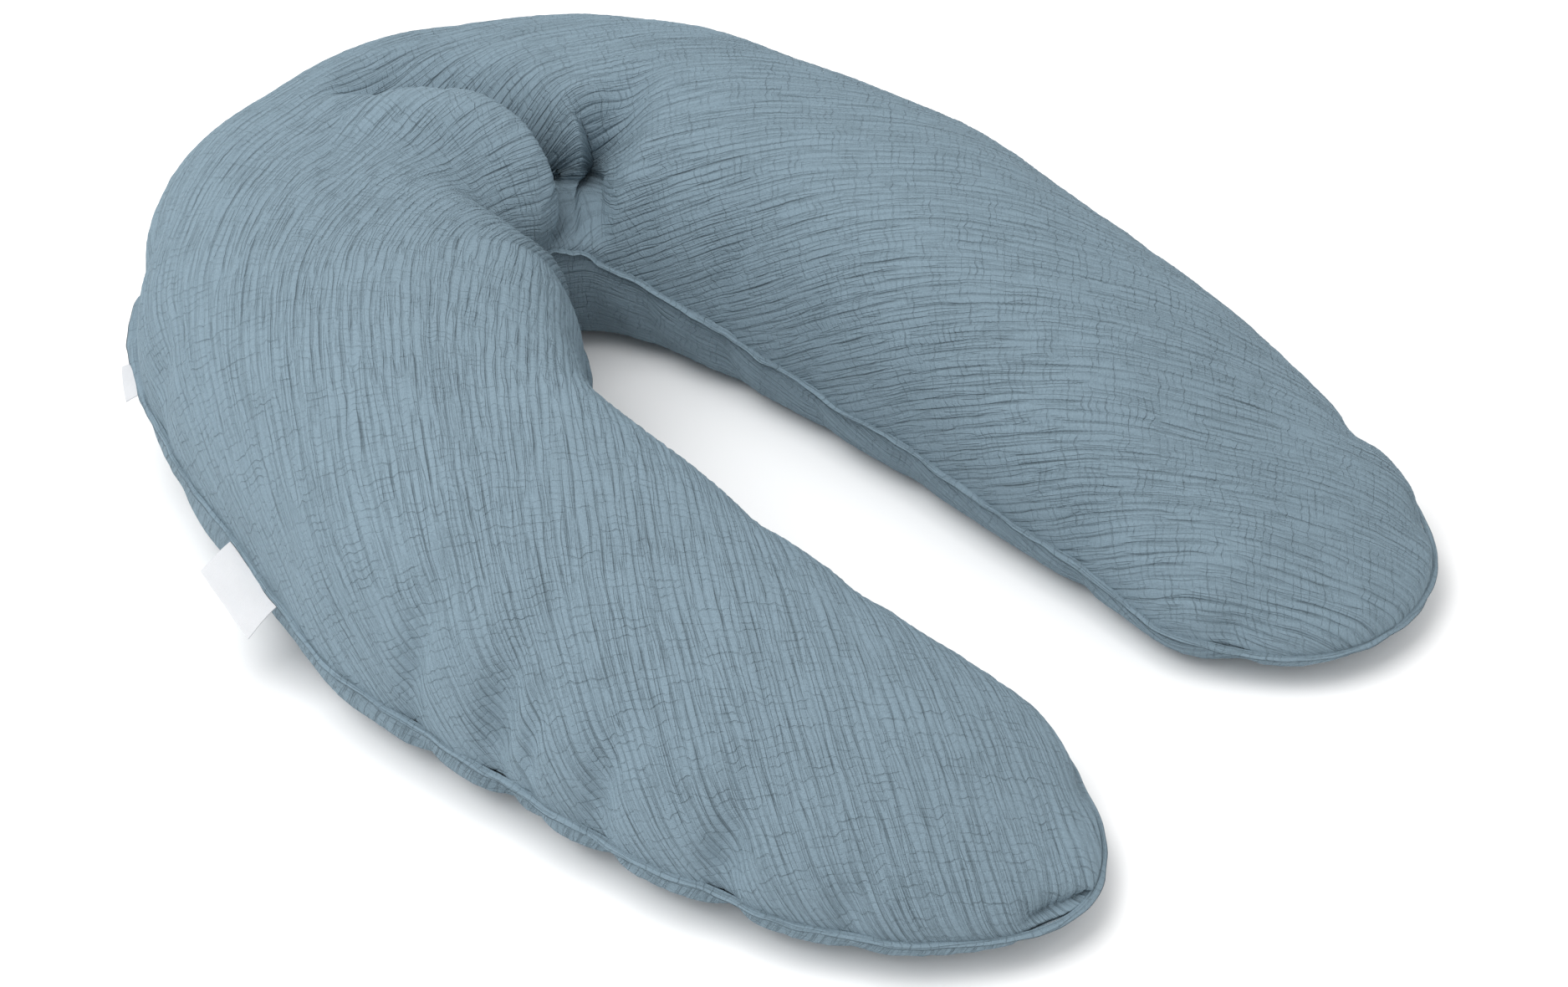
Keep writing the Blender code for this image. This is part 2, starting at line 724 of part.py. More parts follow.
def main():
    clear_scene()
    new_body("crown", Vector((0, 0, 0)))
    new_body("left_arm", hinge_point(LEFT), "crown")
    new_body("right_arm", hinge_point(RIGHT), "crown")
    new_body("zip_slider", ARC_CENTRE, "crown")
    new_body("bag_zip_slider", ARC_CENTRE, "crown")
    make_panels("cover", "muslin", COVER, COVER_INSIDE, COVER_ZIP)
    make_panels("bag", "bag_cotton", BAG, BAG_INSIDE, BAG_ZIP)
    make_fill()
    make_seams()
    slider, face, angle = make_zip("zip", "zip_slider", COVER_ZIP)
    pin_axis = pull_frame(face + PIN_STANDOFF, angle)[0]
    new_body("zip_pull", pin_axis, "zip_slider")
    make_pull(slider, face, angle)
    make_zip("bag_zip", "bag_zip_slider", BAG_ZIP)
    make_label("side_label", SIDE_LABEL_PLACE, SIDE_LABEL_WIDTH, SIDE_LABEL_REACH)
    make_label("care_label", CARE_LABEL_PLACE, CARE_LABEL_WIDTH, CARE_LABEL_REACH)
    centre_on_origin()


main()
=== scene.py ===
import json
import math

import bmesh
import bpy
import numpy as np
from bpy.props import FloatProperty, FloatVectorProperty, PointerProperty
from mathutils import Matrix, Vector, noise


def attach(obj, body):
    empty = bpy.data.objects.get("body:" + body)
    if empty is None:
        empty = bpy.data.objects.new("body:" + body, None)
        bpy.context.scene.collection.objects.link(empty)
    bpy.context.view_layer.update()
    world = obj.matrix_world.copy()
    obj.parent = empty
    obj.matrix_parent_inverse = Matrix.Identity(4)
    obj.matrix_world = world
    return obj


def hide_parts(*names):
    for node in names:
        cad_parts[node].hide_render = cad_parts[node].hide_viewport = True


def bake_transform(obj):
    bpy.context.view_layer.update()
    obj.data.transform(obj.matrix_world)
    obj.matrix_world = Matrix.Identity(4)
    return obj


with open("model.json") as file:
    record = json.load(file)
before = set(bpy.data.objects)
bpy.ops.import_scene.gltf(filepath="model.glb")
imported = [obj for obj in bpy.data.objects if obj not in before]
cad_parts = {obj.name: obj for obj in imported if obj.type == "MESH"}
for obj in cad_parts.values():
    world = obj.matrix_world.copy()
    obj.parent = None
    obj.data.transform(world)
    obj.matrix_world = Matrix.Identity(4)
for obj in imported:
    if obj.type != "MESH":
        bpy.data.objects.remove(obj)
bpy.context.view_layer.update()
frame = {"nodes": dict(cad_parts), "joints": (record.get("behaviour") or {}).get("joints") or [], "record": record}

bl_info = {
    "name": "Nursing Pillow",
    "version": (1, 0, 0),
    "blender": (4, 5, 0),
    "location": "3D View > Sidebar > Pillow",
    "description": "Makes a long bead-filled nursing pillow in a crinkled muslin cover",
    "category": "Add Mesh",
}

JOINTS = {joint["name"]: joint for joint in frame["joints"]}
LEFT, RIGHT = -1, 1
ARM = {LEFT: "left_arm", RIGHT: "right_arm"}
WORD = {LEFT: "left", RIGHT: "right"}

# ---- The pillow's outline, the same as the frame's ----

HALF_LENGTH = 0.900
CROWN_RADIUS, SHOULDER_RADIUS = 0.195, 0.630
CROWN_ANGLE = {LEFT: math.radians(82), RIGHT: math.radians(78)}
SHOULDER_ANGLE = math.radians(9)
ARM_RADIUS = {LEFT: 2.15, RIGHT: 3.05}
ARC_CENTRE = Vector(JOINTS["zip_travel"]["pos_m"])
TOP_OF_CROWN = ARC_CENTRE + Vector((0, CROWN_RADIUS, 0))

# Place along the centreline, reach inwards, reach outwards, top above the seam, seam height.
FULLNESS = {
    LEFT: (
        (0.00, 0.161, 0.087, 0.101, 0.108),
        (0.15, 0.172, 0.090, 0.107, 0.106),
        (0.24, 0.184, 0.093, 0.117, 0.096),
        (0.32, 0.170, 0.099, 0.128, 0.084),
        (0.45, 0.119, 0.129, 0.134, 0.064),
        (0.65, 0.112, 0.128, 0.093, 0.048),
        (0.80, 0.106, 0.108, 0.054, 0.036),
        (0.90, 0.086, 0.086, 0.036, 0.029),
    ),
    RIGHT: (
        (0.00, 0.161, 0.087, 0.101, 0.108),
        (0.15, 0.136, 0.086, 0.099, 0.108),
        (0.30, 0.121, 0.093, 0.121, 0.088),
        (0.45, 0.116, 0.128, 0.132, 0.064),
        (0.65, 0.121, 0.128, 0.093, 0.052),
        (0.80, 0.120, 0.112, 0.052, 0.038),
        (0.90, 0.096, 0.094, 0.036, 0.028),
    ),
}
INSIDE, OUTSIDE, TOP, SEAM = 1, 2, 3, 4
TOP_POWER, FLANK_POWER = 2.4, 2.3  # how square the section is, above and below the seam
FOOTPRINT = 0.50  # share of the width that lies flat on the floor
FLOOR_CLEARANCE = 0.0004

# Each tip closes over this reach, with this squareness, and ends this far past the half length
# (or short of it, where negative).
TIP_REACH = {LEFT: 0.140, RIGHT: 0.110}
TIP_POWER = {LEFT: 2.5, RIGHT: 3.0}
TIP_DROP_POWER = 2.2
TIP_EXTRA = {LEFT: -0.004, RIGHT: -0.003}
TIP_CORNER, TIP_SKEW = {LEFT: -1, RIGHT: 1}, 0.055  # the side on which each tip is squarer

# The zip's opening between the panels, measured along the crown, and how it closes at its ends.
ZIP_END = CROWN_RADIUS * math.radians(41)
WINDOW_HALF, WINDOW_RAMP, WINDOW_FADE = 0.0065, 0.010, 0.03

FLAT_TURN = 0.45  # share of the bend that the cut panel already has
TOP_GIRTH, UNDER_GIRTH = 0.37, 0.34  # across each panel, from seam to seam
UNDER_SHARE = 0.7  # how deep the puckers are on the underside
UNDER_TURN, UNDER_SHIFT = np.array([[0.94, 0.34], [-0.34, 0.94]]), 3.7  # its place on the cloth
EDGE_HOLD, EDGE_CRINKLE = 0.22, 0.10  # shares of the height and width that stay calm by the seam
FOOT_FADE = 0.012  # height over which the crinkle fades at the floor

# The left side's inner edge leans over the inside of the bend: which way, and where it starts,
# is at its most, and ends, along the centreline.
LEAN = (0.016, -0.017)
LEAN_RUN = (0.02, 0.17, 0.30, 0.52)


def arcs(side):
    """Each arc's radius and turn, from the crown's middle outwards; the last has turn to spare."""
    return (
        (CROWN_RADIUS, CROWN_ANGLE[side]),
        (SHOULDER_RADIUS, SHOULDER_ANGLE),
        (ARM_RADIUS[side], 2.0),
    )


def centreline(side, s):
    """Points (x, y) and headings along one side's centreline, in the row frame."""
    s = np.asarray(s, float)
    x, y, heading = (np.zeros_like(s) for _ in range(3))
    left = s.copy()
    for radius, turn in arcs(side):
        run = np.clip(left, 0, radius * turn)
        turned = heading + run / radius
        x = x + radius * (np.sin(turned) - np.sin(heading))
        y = y + radius * (np.cos(turned) - np.cos(heading))
        heading, left = turned, left - run
    return side * x + TOP_OF_CROWN.x, y + TOP_OF_CROWN.y, heading


def flat_centreline(side, s):
    """The same line in the cut panel, before the pillow was bent into a U."""
    run = np.linspace(0, HALF_LENGTH + 0.05, 400)
    heading = centreline(side, run)[2] * FLAT_TURN
    step = run[1] - run[0]
    x = np.concatenate([[0], np.cumsum((np.cos(heading[1:]) + np.cos(heading[:-1])) / 2)]) * step
    y = -np.concatenate([[0], np.cumsum((np.sin(heading[1:]) + np.sin(heading[:-1])) / 2)]) * step
    return side * np.interp(s, run, x), np.interp(s, run, y), np.interp(s, run, heading)


def fullness(side, s, column):
    """Smooth curve through one column of the table, without overshoot."""
    places = np.array([row[0] for row in FULLNESS[side]])
    values = np.array([row[column] for row in FULLNESS[side]])
    steps = np.diff(places)
    rises = np.diff(values) / steps
    slopes = np.zeros(len(places))
    for k in range(1, len(places) - 1):
        if rises[k - 1] * rises[k] > 0:
            slopes[k] = 2 * rises[k - 1] * rises[k] / (rises[k - 1] + rises[k])
    s = np.clip(s, places[0], places[-1])
    k = np.clip(np.searchsorted(places, s, side="right") - 1, 0, len(steps) - 1)
    t = (s - places[k]) / steps[k]
    h = steps[k]
    return (
        (2 * t**3 - 3 * t**2 + 1) * values[k]
        + (t**3 - 2 * t**2 + t) * h * slopes[k]
        + (3 * t**2 - 2 * t**3) * values[k + 1]
        + (t**3 - t**2) * h * slopes[k + 1]
    )


def smooth(t):
    """0 up to t = 0 and 1 from t = 1, with a soft step between."""
    t = np.clip(t, 0, 1)
    return t * t * (3 - 2 * t)


def bump(d, width):
    """1 at d = 0, falling away on both sides."""
    return np.exp(-((d / width) ** 2))


# ---- Noise, the same each time ----


def gradient_noise(points, seed=0):
    """Smooth noise from about -1 to 1, with one cell per unit."""
    p = np.asarray(points, float)
    cell = np.floor(p).astype(np.int64)
    f = p - cell
    fade = f * f * f * (f * (f * 6 - 15) + 10)
    total = np.zeros(p.shape[:-1])
    for dx in (0, 1):
        for dy in (0, 1):
            corner = cell + np.array([dx, dy])
            h = (corner[..., 0] * 374761393 + corner[..., 1] * 668265263 + seed * 1274126177) & 0x7FFFFFFF
            h = ((h ^ (h >> 13)) * 1103515245) & 0x7FFFFFFF
            angle = (h & 0xFFFF) / 65536 * 2 * math.pi
            dot = np.cos(angle) * (f[..., 0] - dx) + np.sin(angle) * (f[..., 1] - dy)
            wx = fade[..., 0] if dx else 1 - fade[..., 0]
            wy = fade[..., 1] if dy else 1 - fade[..., 1]
            total += dot * wx * wy
    return total * 1.5


def plane(a, b):
    """Two arrays put together as places (a, b)."""
    return np.stack([a, b], -1)


def wandered(flat):
    """The flat cloth's coordinates, drawn sideways so that the crease lines wander a little."""
    p, q = flat[..., 0], flat[..., 1]
    drift = 0.0070 * gradient_noise(plane(p / 0.34, q / 0.080), 3)
    drift += 0.0015 * gradient_noise(plane(p / 0.110, q / 0.030), 4)
    drift += 0.0005 * gradient_noise(plane(p / 0.024, q / 0.009), 7)
    return plane(p, q + drift)


CREASE_PITCH, CROSS_PITCH = 0.0060, 0.0052  # between creases along the grain and across it
CREASE_DEPTH, FINE_DEPTH, CROSS_DEPTH = 0.00170, 0.00035, 0.00042


def crinkle(cloth):
    """Height of the double gauze's creases: long ones along the grain, short ones across it."""
    p, q = cloth[..., 0], cloth[..., 1]
    line = q / CREASE_PITCH
    grip = 0.62 + 0.42 * gradient_noise(plane(p / 0.075, line / 0.9), 6)
    grip *= 0.80 + 0.35 * gradient_noise(plane(p / 0.22, q / 0.16), 8)
    long_ones = 0.5 + 0.5 * np.cos(2 * math.pi * line)
    fine = gradient_noise(plane(p / 0.050, q / 0.0045), 2)
    across = gradient_noise(plane(p / 0.0060, q / 0.016), 5)
    creases = -CREASE_DEPTH * np.clip(grip, 0.12, 1.4) * long_ones**2
    return creases + FINE_DEPTH * fine + CROSS_DEPTH * across


# ---- Folds, dents and puckers, sculpted into the top ----

# Places on the crown are (degrees to the right of its top, distance from the arc's centre).
# Each fold is a groove through such places; the cloth on its left swells and hangs over it.
FOLDS = (
    # places, depth, width, swell, swell's distance, how far the edge hangs over the groove
    (
        ((-9, 0.205), (3, 0.183), (10, 0.160), (18, 0.132),
         (31, 0.106), (43, 0.072), (53, 0.052), (62, 0.036)),
        0.066, 0.014, 0.013, 0.024, 0.018,
    ),
    (
        ((52, 0.136), (57, 0.116), (61, 0.088), (64, 0.068), (66, 0.046)),
        0.036, 0.0080, 0.006, 0.014, 0.006,
    ),
    (((-16, 0.178), (-4, 0.165), (4, 0.150), (10, 0.135)), 0.009, 0.009, 0.003, 0.020, 0.0),
    (((24, 0.168), (33, 0.140), (42, 0.112), (49, 0.090)), 0.013, 0.009, 0.004, 0.016, 0.003),
)
DENTS = (
    # degrees, distance from the arc's centre, way it runs in degrees, length, width, depth
    (66, 0.122, 78, 0.036, 0.012, 0.024),
    (73, 0.096, 82, 0.028, 0.011, 0.018),
    (-30, 0.150, 30, 0.050, 0.014, 0.004),
    (84, 0.135, 60, 0.040, 0.014, 0.006),
)
POLAR_WIDTH = 0.09  # metres along the crown for one radian, where the folds lie
SCULPT_FLOOR, SCULPT_RISE = 0.095, 0.05  # height at which the folds begin, and how fast they grow
CROWN_EDGE, CROWN_FADE = 0.02, 0.04  # how far past the arc's centre they end, and how softly


def crown_plan(x, y):
    """Places round the crown laid out flat: along it and across it, in metres."""
    dx, dy = x - ARC_CENTRE.x, y - ARC_CENTRE.y
    return np.arctan2(dx, dy) * POLAR_WIDTH, np.hypot(dx, dy)


def fold_distance(points, x, y):
    """Signed distance to a fold's line (its left side is positive), share run, and way across."""
    nearest = np.full(x.shape, 1e9)
    signed = np.zeros(x.shape)
    share = np.zeros(x.shape)
    way = np.zeros(x.shape + (2,))
    runs = [math.dist(a, b) for a, b in zip(points, points[1:])]
    total, done = sum(runs), 0.0
    for (ax, ay), (bx, by), run in zip(points, points[1:], runs):
        dx, dy = (bx - ax) / run, (by - ay) / run
        t = np.clip((x - ax) * dx + (y - ay) * dy, 0, run)
        ox, oy = x - ax - dx * t, y - ay - dy * t
        d = np.hypot(ox, oy)
        closer = d < nearest
        sign = np.where(dx * oy - dy * ox > 0, -1, 1)
        signed = np.where(closer, d * sign, signed)
        share = np.where(closer, (done + t) / total, share)
        way = np.where(closer[..., None], np.array([-dy, dx]), way)
        nearest = np.where(closer, d, nearest)
        done += run
    return signed, share, way


PUCKERS = (
    # side, place along the seam, in from the outer (1) or the inner (-1) seam, depth, width, reach
    (LEFT, 0.504, 1, 0.0050, 0.008, 0.055),
    (LEFT, 0.565, 1, 0.0085, 0.010, 0.060),
    (LEFT, 0.590, 1, 0.0040, 0.006, 0.035),
    (LEFT, 0.639, 1, 0.0055, 0.009, 0.045),
    (LEFT, 0.718, 1, 0.0080, 0.010, 0.050),
    (LEFT, 0.790, 1, 0.0035, 0.008, 0.035),
    (LEFT, 0.600, -1, 0.0040, 0.009, 0.035),
    (LEFT, 0.680, -1, 0.0035, 0.008, 0.030),
    (LEFT, 0.860, -1, 0.0040, 0.009, 0.040),
    (LEFT, 0.884, 1, 0.0110, 0.009, 0.055),
    (RIGHT, 0.300, -1, 0.0035, 0.010, 0.030),
    (RIGHT, 0.380, -1, 0.0045, 0.010, 0.035),
    (RIGHT, 0.470, -1, 0.0030, 0.008, 0.030),
    (RIGHT, 0.560, -1, 0.0035, 0.010, 0.030),
    (RIGHT, 0.720, -1, 0.0040, 0.009, 0.040),
    (RIGHT, 0.842, -1, 0.0070, 0.012, 0.060),
    (RIGHT, 0.780, 1, 0.0040, 0.010, 0.040),
    (RIGHT, 0.850, 1, 0.0060, 0.011, 0.050),
    (RIGHT, 0.600, 1, 0.0030, 0.009, 0.030),
    (LEFT, 0.240, 1, 0.0040, 0.010, 0.040),
    (LEFT, 0.160, 1, 0.0050, 0.012, 0.050),
)


PANEL_HALF, PUCKER_SLANT = 0.13, 0.12  # metres from seam to middle, and how the puckers slant


def seam_wave(side, s, edge):
    """How far the seam wanders up and sideways, at places s on one edge."""
    row = np.full(np.shape(s), 7.3 * side + 3.1 * edge)
    up = 0.0022 * gradient_noise(plane(s / 0.048, row), 11)
    up += 0.0011 * gradient_noise(plane(s / 0.019, row), 12)
    out = 0.0020 * gradient_noise(plane(s / 0.060, row), 13)
    for on_side, place, on_edge, depth, width, _ in PUCKERS:
        if on_side == side and on_edge == edge:
            up = up - 0.35 * depth * bump(s - place, width * 1.3)
            out = out - 0.55 * depth * bump(s - place, width * 1.6)
    calm = smooth((s - 0.02) / 0.05) * smooth((HALF_LENGTH - s) / 0.05)
    return up * calm, out * calm


# ---- The cover's skin ----


def section(side, s, x, z):
    """Points of the plain cover at places s, at x across it and z up it, each from -1 to 1."""
    reach = TIP_REACH[side]
    end = HALF_LENGTH + TIP_EXTRA[side]
    t = np.clip((s - (end - reach)) / reach, 0, 1)
    narrow = np.sqrt(np.clip(1 - t ** TIP_POWER[side], 0, 1))
    low = np.sqrt(np.clip(1 - t**TIP_DROP_POWER, 0, 1))
    wide = np.where(x < 0, fullness(side, s, INSIDE), fullness(side, s, OUTSIDE))
    corner = np.where(x * TIP_CORNER[side] > 0, 1, -1) * TIP_SKEW * smooth(t * 1.6) * (1 - t**3)
    across = x * wide * np.maximum(narrow + corner * np.abs(x), 0)
    seam = fullness(side, s, SEAM)
    up = np.where(z >= 0, seam + z * fullness(side, s, TOP) * low, seam + z * seam * low)
    mx, my, heading = centreline(side, s)
    px = mx + side * np.sin(heading) * across
    py = my + np.cos(heading) * across
    edge_up, edge_out = (np.where(x > 0, a, b) for a, b in zip(
        seam_wave(side, s, 1), seam_wave(side, s, -1)))
    near = smooth((np.abs(x) - 0.82) / 0.18) * (1 - t)
    up = up + edge_up * near * np.where(z < 0, 1 + z, 1)
    px = px + side * np.sin(heading) * np.sign(x) * edge_out * near
    py = py + np.cos(heading) * np.sign(x) * edge_out * near
    if side == LEFT:
        lean = smooth((s - LEAN_RUN[0]) / (LEAN_RUN[1] - LEAN_RUN[0]))
        lean = lean * smooth((LEAN_RUN[3] - s) / (LEAN_RUN[3] - LEAN_RUN[2]))
        lean = lean * smooth((-x - 0.10) / 0.75)
        px = px + LEAN[0] * lean
        py = py + LEAN[1] * lean
    return np.stack([px, py, up], -1)


def tip_rows(side, spacing):
    """Places along one side, evenly spaced along the seam, so they crowd at the tip."""
    near_tip = HALF_LENGTH - 0.15
    s = np.concatenate([np.linspace(0.0, near_tip, 300),
                        np.linspace(near_tip, HALF_LENGTH + TIP_EXTRA[side], 1500)[1:]])
    outer = section(side, s, np.ones_like(s), np.zeros_like(s))
    inner = section(side, s, -np.ones_like(s), np.zeros_like(s))
    crest = section(side, s, np.zeros_like(s), np.ones_like(s))
    outer, inner, crest = (
        np.linalg.norm(np.diff(line, axis=0), axis=1) for line in (outer, inner, crest))
    step = 0.5 * np.maximum(outer, inner) + 0.5 * crest
    run = np.concatenate([[0], np.cumsum(step)])
    count = max(8, round(run[-1] / spacing))
    return np.interp(np.linspace(0, run[-1], count + 1), run, s)


def even_sweep(curve, count, width=0.25, height=0.11):
    """Resamples a curve (x, z) so that its points are evenly apart on the cloth."""
    step = np.hypot(np.diff(curve[0]) * width / 2, np.diff(curve[1]) * height)
    run = np.concatenate([[0], np.cumsum(step)])
    at = np.linspace(0, run[-1], count + 1)
    return np.interp(at, run, curve[0]), np.interp(at, run, curve[1])


def top_sweep(count):
    """The section above the seam, as evenly spaced places (x, z) across it and up it."""
    turn = np.linspace(0, math.pi, 2000)
    x = np.sign(np.cos(turn)) * np.abs(np.cos(turn)) ** (2 / TOP_POWER)
    z = np.abs(np.sin(turn)) ** (2 / TOP_POWER)
    return even_sweep((x, z), count)


def under_sweep(count):
    """The section below the seam: rounded flanks and a flat foot."""
    turn = np.linspace(0, math.pi / 2, 1000)
    x = FOOTPRINT + (1 - FOOTPRINT) * np.cos(turn) ** (2 / FLANK_POWER)
    z = -(np.sin(turn) ** (2 / FLANK_POWER))
    x = np.concatenate([x, np.linspace(FOOTPRINT, -FOOTPRINT, 400)[1:-1], -x[::-1]])
    z = np.concatenate([z, np.full(398, -1.0), z[::-1]])
    return even_sweep((x, z), count, height=0.06)


def grid_normals(points):
    """Outward directions over a grid of points, with rows along the pillow."""
    along = np.gradient(points, axis=0)
    around = np.gradient(points, axis=1)
    normal = np.cross(along, around)
    return normal / np.maximum(np.linalg.norm(normal, axis=-1, keepdims=True), 1e-12)


def flat_place(side, s, points, outward):
    """Where each point of a skin lies on the flat cloth, in metres.

    Outward is 1 where the columns run from the inner seam to the outer one, and -1 the other way.
    """
    gap = np.linalg.norm(np.diff(points, axis=1), axis=-1)
    run = np.concatenate([np.zeros((len(points), 1)), np.cumsum(gap, axis=1)], axis=1)
    middle = run[:, [run.shape[1] // 2]]
    across = (run - middle) * outward
    x, y, heading = (a[:, None] for a in flat_centreline(side, s[:, 0]))
    return plane(x + side * np.sin(heading) * across, y + np.cos(heading) * across)


def sculpt(points, normals, spread=1.0, extra=0.0):
    """Folds, dents and the fill's unevenness, pushed into the top of the pillow.

    A layer inside the cover takes a wider spread and some extra depth, to stay clear of it.
    """
    x, y = points[..., 0], points[..., 1]
    u, v = crown_plan(x, y)
    turn = u / POLAR_WIDTH
    height = smooth((points[..., 2] - SCULPT_FLOOR) / SCULPT_RISE)
    on_crown = height * smooth((y - ARC_CENTRE.y + CROWN_EDGE) / CROWN_FADE)
    moved = points.copy()
    for line, depth, width, swell, swell_far, hang in FOLDS:
        line = [(math.radians(a) * POLAR_WIDTH, r) for a, r in line]
        d, share, way = fold_distance(line, u, v)
        strength = smooth(share / 0.40 + 0.05) * on_crown
        # The side under the swell drops steeply, and the other rises gently.
        groove = np.where(d > 0, bump(d, width * 0.5 * spread), bump(d, width * 1.8 * spread))
        deeper = 1 + 0.45 * smooth((share - 0.45) / 0.4)
        moved -= normals * ((depth * deeper + extra) * strength * groove)[..., None]
        if extra == 0:
            lobe = np.where(d > 0, bump(d - swell_far, swell_far * 0.8), 0)
            moved += normals * (swell * strength * lobe)[..., None]
            over = hang * strength * np.where(d > 0, bump(d - 0.6 * width, 0.9 * width), 0)
            moved[..., 0] += over * (way[..., 0] * np.cos(turn) + way[..., 1] * np.sin(turn))
            moved[..., 1] += over * (way[..., 1] * np.cos(turn) - way[..., 0] * np.sin(turn))
    for degrees, radius, way, length, width, depth in DENTS:
        du, dv = u - math.radians(degrees) * POLAR_WIDTH, v - radius
        c, s = math.cos(math.radians(way)), math.sin(math.radians(way))
        dent = bump(du * c + dv * s, length * spread) * bump(dv * c - du * s, width * spread)
        moved -= normals * ((depth + extra) * on_crown * dent)[..., None]
    lumps = 0.0032 * gradient_noise(plane(x / 0.16, y / 0.16), 21)
    lumps += 0.0016 * gradient_noise(plane(x / 0.07, y / 0.07), 22)
    return moved + normals * (lumps * height)[..., None]


def puckered(side, s, x, points, normals, depth_share):
    """Short grooves that run into the panel from the seam, where it is gathered."""
    moved = points.copy()
    for on_side, place, edge, depth, width, reach in PUCKERS:
        if on_side != side:
            continue
        inward = (1 - x * edge) * PANEL_HALF
        groove = bump(s - place - PUCKER_SLANT * inward, width * (1 + inward / reach))
        fade = np.exp(-((inward / reach) ** 2)) * smooth(inward / 0.004 + 0.4)
        moved -= normals * (depth * depth_share * groove * fade)[..., None]
    return moved


def mesh_object(name, verts, faces, flat=None, normals=None):
    """A smooth mesh, with its place on the flat cloth kept as its UV layer."""
    mesh = bpy.data.meshes.new(name)
    mesh.from_pydata([tuple(v) for v in verts], [], faces)
    if flat is not None:
        layer = mesh.uv_layers.new(name="cloth")
        index = np.zeros(len(mesh.loops), np.int32)
        mesh.loops.foreach_get("vertex_index", index)
        layer.data.foreach_set("uv", flat[index].astype(np.float32).ravel())
    mesh.polygons.foreach_set("use_smooth", np.ones(len(mesh.polygons), bool))
    if normals is not None:
        mesh.normals_split_custom_set_from_vertices([tuple(n) for n in normals])
    obj = bpy.data.objects.new(name, mesh)
    bpy.context.scene.collection.objects.link(obj)
    return obj


def grid_faces(rows, columns, turned, closed=False):
    """Four-sided faces over a grid of points; closed joins the last column to the first."""
    faces = []
    wrap = columns if closed else columns - 1
    for i in range(rows - 1):
        for j in range(wrap):
            a, b = i * columns + j, i * columns + (j + 1) % columns
            c, d = b + columns, a + columns
            faces.append((d, c, b, a) if turned else (a, b, c, d))
    return faces


def finish_piece(obj, side, material, stands_for=()):
    """Gives a piece its material, bakes its placement into its mesh for a piece on one side, and hides the plain
    solids.
    """
    obj.data.materials.clear()
    obj.data.materials.append(material)
    if side is not None:
        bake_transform(obj)
    if stands_for:
        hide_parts(*stands_for)


# ---- Materials ----


